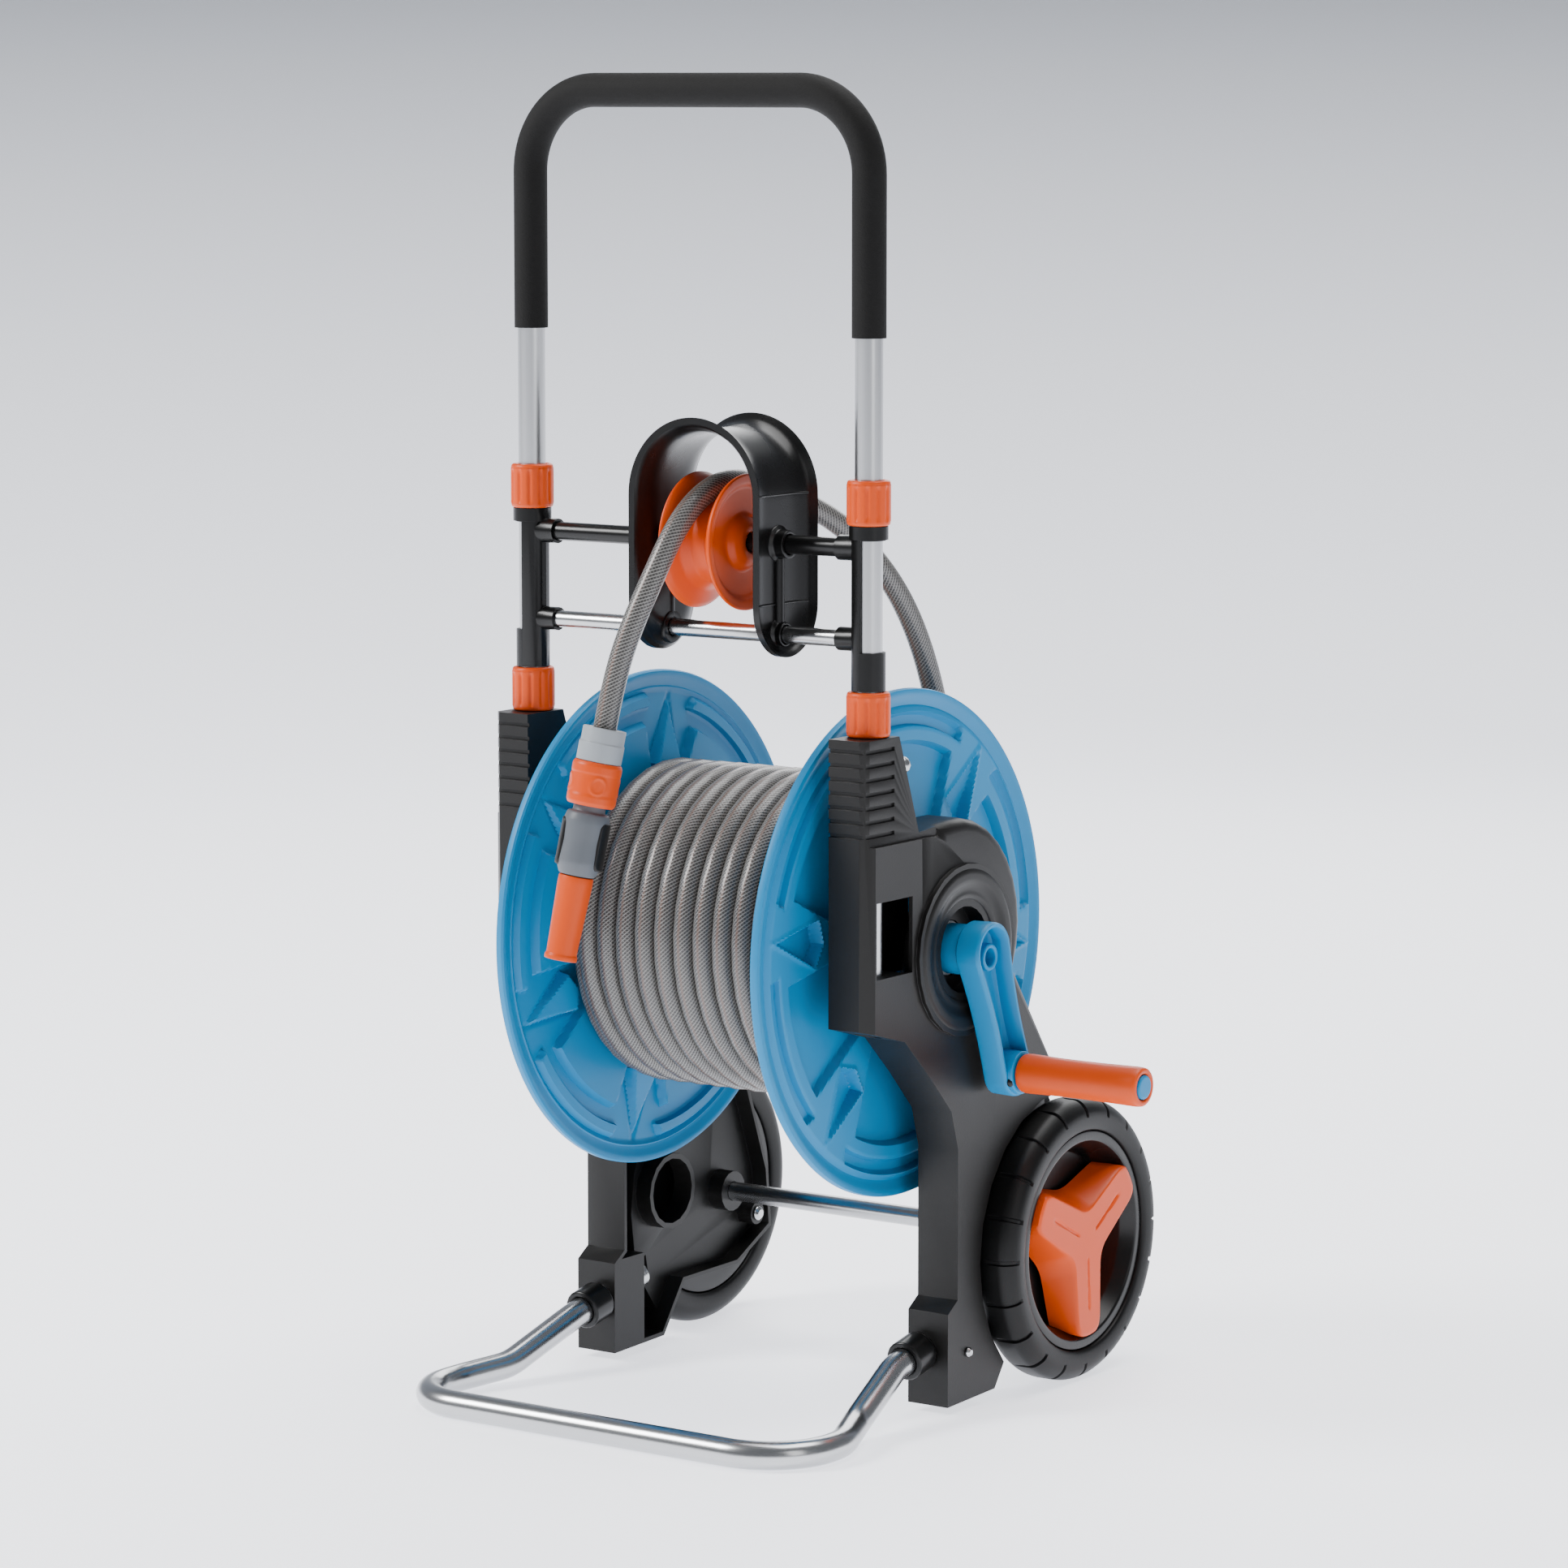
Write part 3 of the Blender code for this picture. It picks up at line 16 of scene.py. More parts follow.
import bmesh
import bpy
import numpy as np
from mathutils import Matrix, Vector


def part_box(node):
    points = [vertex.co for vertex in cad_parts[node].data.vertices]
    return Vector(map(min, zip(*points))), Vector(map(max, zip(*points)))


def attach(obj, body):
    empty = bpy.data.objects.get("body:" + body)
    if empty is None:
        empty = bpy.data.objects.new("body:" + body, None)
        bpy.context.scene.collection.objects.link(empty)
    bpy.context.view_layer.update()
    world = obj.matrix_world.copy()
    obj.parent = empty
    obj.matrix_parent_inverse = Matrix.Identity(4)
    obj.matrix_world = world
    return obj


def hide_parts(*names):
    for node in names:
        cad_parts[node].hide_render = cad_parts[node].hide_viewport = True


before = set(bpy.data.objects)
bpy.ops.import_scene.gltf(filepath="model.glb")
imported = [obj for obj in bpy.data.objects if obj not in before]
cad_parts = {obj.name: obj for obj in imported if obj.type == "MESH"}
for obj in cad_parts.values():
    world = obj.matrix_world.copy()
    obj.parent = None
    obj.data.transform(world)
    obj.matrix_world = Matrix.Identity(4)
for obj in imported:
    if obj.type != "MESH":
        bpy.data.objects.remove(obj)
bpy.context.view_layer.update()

log = logging.getLogger("hose_reel_cart")

Array = np.ndarray
Point = tuple[float, float, float]
MM = 0.001
SMOOTH_ANGLE = math.radians(32)  # edges sharper than this stay crisp
SOFT_ANGLE = math.radians(50)
SQUARE_ANGLE = math.radians(60)
FLAT_ANGLE = math.radians(0.5)  # faces closer than this to one plane are merged
WELD = 1e-6
CAD_WELD = 1e-5
PATH_STEP = 4 * MM  # distance between the points of a path
ALONG_X: Point = (1.0, 0.0, 0.0)
ALONG_Y: Point = (0.0, 1.0, 0.0)
ALONG_Z: Point = (0.0, 0.0, 1.0)
DRUM_AXIS = (0.0912, 0.3252)  # (y, z) of the drum, the crank's hub and the frames' hubs


class Side(Enum):
    """The two sides of the cart, with the sign of their X."""

    LEFT = -1
    RIGHT = 1

    @property
    def label(self) -> str:
        """The ending of this side's node names."""
        return self.name.lower()

    @property
    def outward(self) -> Point:
        """The direction away from the cart's middle."""
        return (float(self.value), 0.0, 0.0)


class Body(Enum):
    """The bodies that new pieces ride on."""

    CHASSIS = "chassis"
    HANDLE = "handle"
    GUIDE = "guide"
    PULLEY = "pulley_body"
    DRUM = "drum"
    GRIP = "grip_body"
    RELEASE = "release_body"
    NOZZLE = "nozzle_body"
    INLET = "inlet"
    WHEEL_LEFT = "wheel_left"
    WHEEL_RIGHT = "wheel_right"
    LOWER_COLLAR_LEFT = "lower_collar_left_body"
    LOWER_COLLAR_RIGHT = "lower_collar_right_body"
    UPPER_COLLAR_LEFT = "upper_collar_left_body"
    UPPER_COLLAR_RIGHT = "upper_collar_right_body"


def home() -> Array:
    """Where the cart's own origin stands: under the middle of the handle's tube, on the ground."""
    low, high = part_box("handle_tube")
    return np.array([(low.x + high.x) / 2, (low.y + high.y) / 2, 0.0])


HOME = home()


# ------------------------------------------------------------------ surfaces
def quads(rows: int, columns: int, wrap_rows: bool = False, wrap_columns: bool = False) -> Array:
    """Corner numbers of a grid's faces: each point, its right, its right below and its below.

    Args:
        rows: points along the first parameter.
        columns: points along the second.
        wrap_rows: whether the last row joins the first.
        wrap_columns: whether the last column joins the first.

    Returns:
        An array of four corner numbers a face.
    """
    i = np.arange(rows if wrap_rows else rows - 1)[:, None]
    j = np.arange(columns if wrap_columns else columns - 1)[None, :]
    below, right = (i + 1) % rows, (j + 1) % columns
    corners = (i * columns + j, i * columns + right, below * columns + right, below * columns + j)
    return np.stack(np.broadcast_arrays(*corners), axis=-1).reshape(-1, 4)


def softened(
    outline: Iterable[tuple[float, ...]], radius: float, steps: int = 3, closed: bool = True
) -> Array:
    """The outline with each corner swapped for a quadratic curve that starts and ends a radius away.

    A corner's curve is (1-t)^2 a + 2t(1-t) corner + t^2 b, where a and b lie on the two sides at the
    radius, or at 45% of the side where it is shorter.

    Args:
        outline: the corners in order.
        radius: how far from the corner the curve starts.
        steps: curve segments a corner.
        closed: whether the last corner joins the first; if not, both ends stay sharp.

    Returns:
        The points of the rounded outline.
    """
    corner = np.array(list(outline), float)
    before, after = np.roll(corner, 1, axis=0) - corner, np.roll(corner, -1, axis=0) - corner
    reach = [np.linalg.norm(d, axis=1, keepdims=True) for d in (before, after)]
    start = corner + before * np.minimum(radius / reach[0], 0.45)
    end = corner + after * np.minimum(radius / reach[1], 0.45)
    t = np.linspace(0, 1, steps + 1)[None, :, None]
    curve = (1 - t) ** 2 * start[:, None] + 2 * t * (1 - t) * corner[:, None] + t**2 * end[:, None]
    if closed:
        return curve.reshape(-1, corner.shape[1])
    inner = curve[1:-1].reshape(-1, corner.shape[1])
    return np.concatenate([corner[:1], inner, corner[-1:]])


def smoothstep(x: Array, low: float, high: float) -> Array:
    """0 below low, 1 above high, and 3t^2 - 2t^3 between them."""
    t = np.clip((x - low) / (high - low), 0, 1)
    return t * t * (3 - 2 * t)


def unit(vectors: Array) -> Array:
    """The vectors at length one."""
    return vectors / np.linalg.norm(vectors, axis=-1, keepdims=True)


@dataclass(frozen=True)
class Shape:
    """Points and faces of a surface, before it is a mesh; uv has one pair a face corner."""

    points: Array
    faces: Array
    uv: Array | None = None


def grid(points: Array, wrap_rows: bool = False, wrap_columns: bool = False) -> Shape:
    """The surface whose points are a grid of rows and columns.

    Args:
        points: an array of (row, column, 3).
        wrap_rows: whether the last row joins the first.
        wrap_columns: whether the last column joins the first.

    Returns:
        The surface.
    """
    rows, columns = points.shape[:2]
    return Shape(points.reshape(-1, 3), quads(rows, columns, wrap_rows, wrap_columns))


def turned(
    profile: Array,
    centre: Point,
    axis: Point = ALONG_Z,
    steps: int = 64,
    ripple: Callable[[Array, Array], Array] | None = None,
    angles: Array | None = None,
) -> Shape:
    """A closed profile of (radius, height) carried round an axis.

    point = centre + height * axis + radius * (cos a * u + sin a * v), with u and v square to the axis,
    and the radius grown by ripple(profile row, angle) where one is given.

    Args:
        profile: the closed outline.
        centre: a point on the axis, at height 0.
        axis: the axis, of length one.
        steps: segments round.
        ripple: what is added to the radius, from (profile, angles) arrays that broadcast.
        angles: the angles used in place of even steps.

    Returns:
        The surface, with poles still open where the profile meets the axis.
    """
    way = np.array(axis, float)
    u = unit(np.cross(way, ALONG_Y if abs(way[1]) < 0.9 else ALONG_X))
    v = np.cross(way, u)
    turn = np.linspace(0, 2 * math.pi, steps, endpoint=False) if angles is None else angles
    radius = np.repeat(profile[:, :1], len(turn), axis=1)
    if ripple is not None:
        radius = radius + ripple(profile[:, None, :], turn[None, :])
    around = np.cos(turn)[None, :, None] * u + np.sin(turn)[None, :, None] * v
    points = np.array(centre) + profile[:, 1, None, None] * way + radius[..., None] * around
    return grid(points, True, True)


def sections(path: Array, across: Point) -> tuple[Array, Array]:
    """Two directions square to a path at each of its points.

    side = tangent x across, and lift = side x tangent, each at length one.

    Args:
        path: the points followed.
        across: a direction that the path never runs along.

    Returns:
        The side and lift directions.
    """
    tangent = unit(np.gradient(path, axis=0))
    side = unit(np.cross(tangent, np.array(across, float)))
    return side, np.cross(side, tangent)


def swept(path: Array, radius: float, across: Point, sides: int = 24) -> Shape:
    """A round bar along a path, open at both ends: path + radius * (cos a * side + sin a * lift).

    Its UV map is in metres: along the path, and round the bar.

    Args:
        path: the points followed.
        radius: the bar's radius.
        across: a direction that the path never runs along.
        sides: segments round.

    Returns:
        The surface, open at both ends; make caps them.
    """
    side, lift = sections(path, across)
    turn = np.linspace(0, 2 * math.pi, sides, endpoint=False)[None, :, None]
    points = path[:, None] + radius * (np.cos(turn) * side[:, None] + np.sin(turn) * lift[:, None])
    along = np.concatenate([[0.0], np.cumsum(np.linalg.norm(np.diff(path, axis=0), axis=1))])
    rows = len(path)
    i = np.repeat(np.arange(rows - 1), sides)
    j = np.tile(np.arange(sides), rows - 1)
    round_step = 2 * math.pi * radius / sides
    corners = [(along[i], j), (along[i], j + 1), (along[i + 1], j + 1), (along[i + 1], j)]
    uv = np.stack([np.stack([a, b * round_step], axis=-1) for a, b in corners], axis=1)
    return Shape(points.reshape(-1, 3), quads(rows, sides, False, True), uv.reshape(-1, 2))


def smooth_route(knots: Iterable[Point], spacing: float = PATH_STEP) -> Array:
    """Points at this spacing on the natural cubic spline through the knots.

    The second derivatives m solve h0 m0 + 2 (h0 + h1) m1 + h1 m2 = 6 (slope1 - slope0) at each inner
    knot, and a point is the line between its two knots plus (a^3-a, b^3-b) of those times h^2/6.

    Args:
        knots: the points passed through.
        spacing: the distance between the points given back.

    Returns:
        The points of the curve.
    """
    knot = np.array(list(knots), float)
    t = np.concatenate([[0.0], np.cumsum(np.linalg.norm(np.diff(knot, axis=0), axis=1))])
    h = np.diff(t)
    count = len(t)
    middle = np.arange(1, count - 1)
    system = np.eye(count)
    system[middle, middle - 1], system[middle, middle + 1] = h[:-1], h[1:]
    system[middle, middle] = 2 * (h[:-1] + h[1:])
    slope = np.diff(knot, axis=0) / h[:, None]
    target = np.zeros_like(knot)
    target[1:-1] = 6 * np.diff(slope, axis=0)
    bend = np.linalg.solve(system, target)
    at = np.linspace(0, t[-1], round(t[-1] / spacing) + 1)
    i = np.clip(np.searchsorted(t, at, side="right") - 1, 0, count - 2)
    a = ((t[i + 1] - at) / h[i])[:, None]
    b = 1 - a
    curved = (a**3 - a) * bend[i] + (b**3 - b) * bend[i + 1]
    return a * knot[i] + b * knot[i + 1] + curved * h[i, None] ** 2 / 6


def rounded_path(
    corners: Iterable[Point], radii: Iterable[float], spacing: float = PATH_STEP
) -> Array:
    """A path of straight lines whose corners are swapped for circular arcs.

    Args:
        corners: the corner points.
        radii: each corner's radius; the first and last are ignored.
        spacing: the distance between points along an arc.

    Returns:
        The points of the path.
    """
    points = [Vector(p) for p in corners]
    path = [points[0]]
    for last, here, after, radius in zip(points, points[1:], points[2:], list(radii)[1:]):
        to_last, to_next = (last - here).normalized(), (after - here).normalized()
        half = to_last.angle(to_next) / 2
        centre = here + (to_last + to_next).normalized() * radius / math.sin(half)
        start = here + to_last * radius / math.tan(half) - centre
        end = here + to_next * radius / math.tan(half) - centre
        sweep = math.pi - 2 * half
        count = max(3, round(sweep * radius / spacing))
        turns = [sweep * k / count for k in range(count + 1)]
        path += [centre + (start * math.sin(sweep - a) + end * math.sin(a)) / math.sin(sweep) for a in turns]
    path.append(points[-1])
    return np.array([tuple(p) for p in path])


# ------------------------------------------------------------------ finishes
def linear(colour: str) -> tuple[float, float, float, float]:
    """The linear RGBA of an sRGB hex colour such as '#1f8fd0'."""
    parts = (int(colour[k : k + 2], 16) / 255 for k in (1, 3, 5))
    return (*(c / 12.92 if c <= 0.04045 else ((c + 0.055) / 1.055) ** 2.4 for c in parts), 1.0)


def add_node(
    tree: bpy.types.NodeTree, kind: str, settings: dict | None = None, links: dict | None = None
) -> bpy.types.Node:
    """Adds a node.

    Args:
        tree: where it goes.
        kind: its type.
        settings: values of its input sockets, or else of its properties.
        links: its input sockets, and the output that each takes.

    Returns:
        The node.
    """
    node = tree.nodes.new(kind)
    for name, value in (settings or {}).items():
        if isinstance(name, int) or name in node.inputs:
            node.inputs[name].default_value = value
        else:
            setattr(node, name, value)
    for name, source in (links or {}).items():
        tree.links.new(source, node.inputs[name])
    return node


@dataclass(frozen=True)
class Finish:
    """What every finish has: its name, the record's slot that it belongs to, and its shader's numbers."""

    name: str
    slot: str
    colour: str
    roughness: float

    def material(self) -> bpy.types.Material:
        """The finish's material, made on first use.

        Returns:
            The material.
        """
        found = bpy.data.materials.get(self.name)
        if found is None:
            found = bpy.data.materials.new(self.name)
            found.use_nodes = True
            found.diffuse_color = linear(self.colour)
            self.paint(found.node_tree, found.node_tree.nodes["Principled BSDF"])
        return found

    def paint(self, tree: bpy.types.NodeTree, shader: bpy.types.Node) -> None:
        """Sets the shader up."""
        raise NotImplementedError


def mottled(
    tree: bpy.types.NodeTree, shader: bpy.types.Node, coords: bpy.types.NodeSocket,
    colours: tuple[str, str], roughness: tuple[float, float], size: float,
) -> None:
    """Lets colour and roughness drift softly between two values, over patches of this size.

    Args:
        tree: the material's node tree.
        shader: its Principled node.
        coords: what the pattern follows.
        colours: the two hex colours.
        roughness: the two roughnesses.
        size: the patches' size.
    """
    drift = add_node(tree, "ShaderNodeTexNoise", {"Scale": 1 / size, "Detail": 3.0}, {"Vector": coords})
    mix = add_node(
        tree, "ShaderNodeMix", {"data_type": "RGBA", 6: linear(colours[0]), 7: linear(colours[1])},
        {0: drift.outputs["Fac"]},
    )
    tree.links.new(mix.outputs[2], shader.inputs["Base Color"])
    spread = add_node(
        tree, "ShaderNodeMapRange", {"To Min": roughness[0], "To Max": roughness[1]},
        {"Value": drift.outputs["Fac"]},
    )
    tree.links.new(spread.outputs["Result"], shader.inputs["Roughness"])


@dataclass(frozen=True)
class MouldedPlastic(Finish):
    """Injection-moulded ABS or polypropylene from a spark-eroded mould.

    The eye sees one even colour with a fine leathery grain that breaks the highlights up.
    """

    second: str = ""
    grain: float = 1.0 * MM  # real grain is 0.2 to 0.4 mm; drawn coarser so that it shows
    depth: float = 0.05 * MM
    ior: float = 1.5
    specular: float = 0.3  # the grain's own shadowing takes some of the reflection away
    spread: float = 0.05
    patch: float = 60 * MM

    def paint(self, tree: bpy.types.NodeTree, shader: bpy.types.Node) -> None:
        """Even colour, slight drift from patch to patch, and grain by bump.

        Args:
            tree: the material's node tree.
            shader: its Principled node.
        """
        shader.inputs["IOR"].default_value = self.ior
        shader.inputs["Specular IOR Level"].default_value = self.specular
        coords = add_node(tree, "ShaderNodeTexCoord").outputs["Object"]
        mottled(
            tree, shader, coords, (self.colour, self.second or self.colour),
            (self.roughness - self.spread, self.roughness + self.spread), self.patch,
        )
        grain = add_node(
            tree, "ShaderNodeTexNoise", {"Scale": 1 / self.grain, "Detail": 2.0}, {"Vector": coords}
        )
        bump = add_node(
            tree, "ShaderNodeBump", {"Strength": 1.0, "Distance": self.depth},
            {"Height": grain.outputs["Fac"]},
        )
        tree.links.new(bump.outputs["Normal"], shader.inputs["Normal"])


@dataclass(frozen=True)
class DrawnMetal(Finish):
    """Drawn tube: anodised aluminium or bright chromed steel.

    Fine draw lines run along the tube and stretch the highlight along it.
    """

    line: float = 0.35 * MM
    lines_along: float = 6.0  # noise cells a metre along the tube
    depth: float = 0.012 * MM

    def paint(self, tree: bpy.types.NodeTree, shader: bpy.types.Node) -> None:
        """Metal whose roughness and height change in long thin lines along the UV map's U.

        Args:
            tree: the material's node tree.
            shader: its Principled node.
        """
        shader.inputs["Metallic"].default_value = 1.0
        coords = add_node(tree, "ShaderNodeTexCoord").outputs["UV"]
        stretch = add_node(
            tree, "ShaderNodeMapping", {"Scale": (self.lines_along, 1 / self.line, 1.0)}, {"Vector": coords}
        )
        lines = add_node(
            tree, "ShaderNodeTexNoise", {"Scale": 1.0, "Detail": 4.0}, {"Vector": stretch.outputs["Vector"]}
        )
        spread = add_node(
            tree, "ShaderNodeMapRange", {"To Min": self.roughness * 0.75, "To Max": self.roughness * 1.3},
            {"Value": lines.outputs["Fac"]},
        )
        tree.links.new(spread.outputs["Result"], shader.inputs["Roughness"])
        shader.inputs["Base Color"].default_value = linear(self.colour)
        bump = add_node(
            tree, "ShaderNodeBump", {"Strength": 1.0, "Distance": self.depth},
            {"Height": lines.outputs["Fac"]},
        )
        tree.links.new(bump.outputs["Normal"], shader.inputs["Normal"])


@dataclass(frozen=True)
class CellFoam(Finish):
    """EVA foam or moulded rubber: dull, with tiny open cells that catch the light as specks."""

    cell: float = 0.9 * MM
    depth: float = 0.16 * MM
    sheen: float = 0.25
    specular: float = 0.25
    spread: float = 0.04
    patch: float = 30 * MM

    def paint(self, tree: bpy.types.NodeTree, shader: bpy.types.Node) -> None:
        """Matt colour with sheen, and cells by bump.

        Args:
            tree: the material's node tree.
            shader: its Principled node.
        """
        shader.inputs["Specular IOR Level"].default_value = self.specular
        shader.inputs["Sheen Weight"].default_value = self.sheen
        shader.inputs["Sheen Roughness"].default_value = 0.6
        coords = add_node(tree, "ShaderNodeTexCoord").outputs["Object"]
        mottled(
            tree, shader, coords, (self.colour, self.colour),
            (self.roughness - self.spread, self.roughness), self.patch,
        )
        cells = add_node(tree, "ShaderNodeTexVoronoi", {"Scale": 1 / self.cell}, {"Vector": coords})
        bump = add_node(
            tree, "ShaderNodeBump", {"Strength": 1.0, "Distance": self.depth},
            {"Height": cells.outputs["Distance"]},
        )
        tree.links.new(bump.outputs["Normal"], shader.inputs["Normal"])


@dataclass(frozen=True)
class BraidedHose(Finish):
    """Clear soft PVC over a woven grey braid, with two painted brown stripes along it for shade and
    reflection where turns meet.

    The eye sees diagonal threads under a glossy wall, lighter where the light strikes.
    """

    thread: str = "#8b8985"
    # the brown of the painted shade and reflection stripes where turns meet
    painted_shade_colour: str = "#634232"
    pitch: float = 3.4 * MM
    radius: float = 8.0 * MM
    depth: float = 0.10 * MM
    under: float = 0.55  # how much of the lower family shows
    # how many painted shade and reflection stripes run along the hose
    painted_shade_stripes: int = 2

    def paint(self, tree: bpy.types.NodeTree, shader: bpy.types.Node) -> None:
        """Two crossing families of threads from the UV map, painted shade and reflection stripes, and a
        clear coat.

        Args:
            tree: the material's node tree.
            shader: its Principled node.
        """
        shader.inputs["IOR"].default_value = 1.53
        shader.inputs["Coat Weight"].default_value = 0.35
        shader.inputs["Coat Roughness"].default_value = 0.16
        shader.inputs["Roughness"].default_value = self.roughness
        coords = add_node(tree, "ShaderNodeTexCoord").outputs["UV"]
        around = 2 * math.pi * self.radius
        starts = round(around / self.pitch)
        waves = []
        for sign in (1, -1):
            # Threads a pitch apart both ways, and whole turns round the hose so that the seam is hidden
            rate = (2 * math.pi / (self.pitch * 0.8), sign * 2 * math.pi * starts / around, 0.0)
            phase = add_node(
                tree, "ShaderNodeVectorMath", {"operation": "DOT_PRODUCT", 1: rate}, {0: coords}
            )
            wave = add_node(tree, "ShaderNodeMath", {"operation": "SINE"}, {0: phase.outputs["Value"]})
            waves.append(wave.outputs[0])
        # One family lies on top, as in a twill, so the other shows less
        under = add_node(tree, "ShaderNodeMath", {"operation": "MULTIPLY", 1: self.under}, {0: waves[1]})
        over = waves[0]
        braid = add_node(tree, "ShaderNodeMath", {"operation": "MAXIMUM"}, {0: over, 1: under.outputs[0]})
        share = add_node(
            tree, "ShaderNodeMapRange", {"From Min": 0.2, "From Max": 1.0}, {"Value": braid.outputs[0]}
        )
        woven = add_node(
            tree, "ShaderNodeMix", {"data_type": "RGBA", 6: linear(self.colour), 7: linear(self.thread)},
            {0: share.outputs["Result"]},
        )
        # Painted shade and reflection: brown stripes along the hose where turns meet
        rate = (0.0, 2 * math.pi * self.painted_shade_stripes / around, 0.0)
        phase = add_node(tree, "ShaderNodeVectorMath", {"operation": "DOT_PRODUCT", 1: rate}, {0: coords})
        line = add_node(tree, "ShaderNodeMath", {"operation": "COSINE"}, {0: phase.outputs["Value"]})
        painted_shade_band = add_node(
            tree, "ShaderNodeMapRange", {"From Min": 0.93, "From Max": 1.0, "To Max": 0.55},
            {"Value": line.outputs[0]},
        )
        painted_shade_mixed = add_node(
            tree, "ShaderNodeMix", {"data_type": "RGBA", 7: linear(self.painted_shade_colour)},
            {0: painted_shade_band.outputs["Result"], 6: woven.outputs[2]},
        )
        tree.links.new(painted_shade_mixed.outputs[2], shader.inputs["Base Color"])
        bump = add_node(
            tree, "ShaderNodeBump", {"Strength": 1.0, "Distance": self.depth},
            {"Height": braid.outputs[0]},
        )
        tree.links.new(bump.outputs["Normal"], shader.inputs["Normal"])


BLACK = MouldedPlastic("black_polypropylene", "black_plastic", "#100f0e", 0.42, "#151413")
BLACK_SMOOTH = MouldedPlastic(
    "black_glossy_polypropylene", "black_plastic", "#0a0a0a", 0.28, "#0e0e0e", depth=0.02 * MM
)
BLUE = MouldedPlastic("blue_polypropylene", "blue_plastic", "#007cb0", 0.45, "#0080b6")
ORANGE = MouldedPlastic("orange_abs", "orange_plastic", "#d64600", 0.40, "#db4b00", depth=0.03 * MM)
GREY = MouldedPlastic("grey_soft_touch_abs", "grey_plastic", "#5b5f64", 0.45, "#62666b", depth=0.02 * MM)
PALE = MouldedPlastic("pale_grey_abs", "pale_plastic", "#969b9f", 0.4, "#9ca1a5", depth=0.02 * MM)
ALUMINIUM = DrawnMetal("anodised_aluminium", "satin_aluminium", "#cfd0d1", 0.30)
STEEL = DrawnMetal("chromed_steel", "polished_steel", "#bcbdbe", 0.24)
FOAM = CellFoam("eva_foam", "foam_rubber", "#0b0a09", 0.75, sheen=0.0)
TYRE = CellFoam(
    "moulded_tyre_rubber", "tyre_rubber", "#070707", 0.46, cell=1.2 * MM, depth=0.03 * MM, sheen=0.0
)
HOSE = BraidedHose("braided_pvc_hose", "hose_plastic", "#353331", 0.36)


# ------------------------------------------------------------------ pieces
def linked(name: str, data: bpy.types.ID) -> bpy.types.Object:
    """A new object in the scene.

    Args:
        name: its name.
        data: its mesh, light or camera.

    Returns:
        The object.
    """
    obj = bpy.data.objects.new(name, data)
    bpy.context.scene.collection.objects.link(obj)
    return obj


def settle(
    obj: bpy.types.Object, body: Body, finish: Finish, replaces: Iterable[str] = (),
    sharp: float = SMOOTH_ANGLE,
) -> bpy.types.Object:
    """Shades a piece, gives it its finish, and hangs it on its body.

    Args:
        obj: the piece.
        body: what it moves with.
        finish: its material.
        replaces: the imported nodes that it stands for.
        sharp: the angle past which an edge stays crisp.

    Returns:
        The piece.
    """
    obj.data.shade_smooth()
    obj.data.set_sharp_from_angle(angle=sharp)
    obj.data.materials.clear()
    obj.data.materials.append(finish.material())
    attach(obj, body.value)
    if replaces:
        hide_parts(*replaces)
    log.info("%s: %d faces on %s", obj.name, len(obj.data.polygons), body.value)
    return obj


def make(
    name: str, shape: Shape, body: Body, finish: Finish, replaces: Iterable[str] = (),
    sharp: float = SMOOTH_ANGLE,
) -> bpy.types.Object:
    """A new piece from a shape in the cart's own coordinates; a shape with UVs gets its two ends capped.

    Args:
        name: the piece's name.
        shape: its surface.
        body: what it moves with.
        finish: its material.
        replaces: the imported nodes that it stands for.
        sharp: the angle past which an edge stays crisp.

    Returns:
        The piece.
    """
    mesh = bpy.data.meshes.new(name)
    if shape.uv is None:
        mesh.from_pydata(shape.points + HOME, [], shape.faces)
    else:
        sides = int(shape.faces[:, 1].argmin()) + 1
        last = len(shape.points)
        caps = [list(range(sides))[::-1], list(range(last - sides, last))]
        mesh.from_pydata(shape.points + HOME, [], shape.faces.tolist() + caps)
        layer = mesh.uv_layers.new(name="UVMap")
        uv = np.zeros((len(mesh.loops), 2))
        uv[: len(shape.uv)] = shape.uv
        layer.data.foreach_set("uv", uv.ravel())
    work = bmesh.new()
    work.from_mesh(mesh)
    if shape.uv is None:
        bmesh.ops.remove_doubles(work, verts=work.verts, dist=WELD)
    bmesh.ops.recalc_face_normals(work, faces=work.faces)
    work.to_mesh(mesh)
    work.free()
    return settle(linked(name, mesh), body, finish, replaces, sharp)


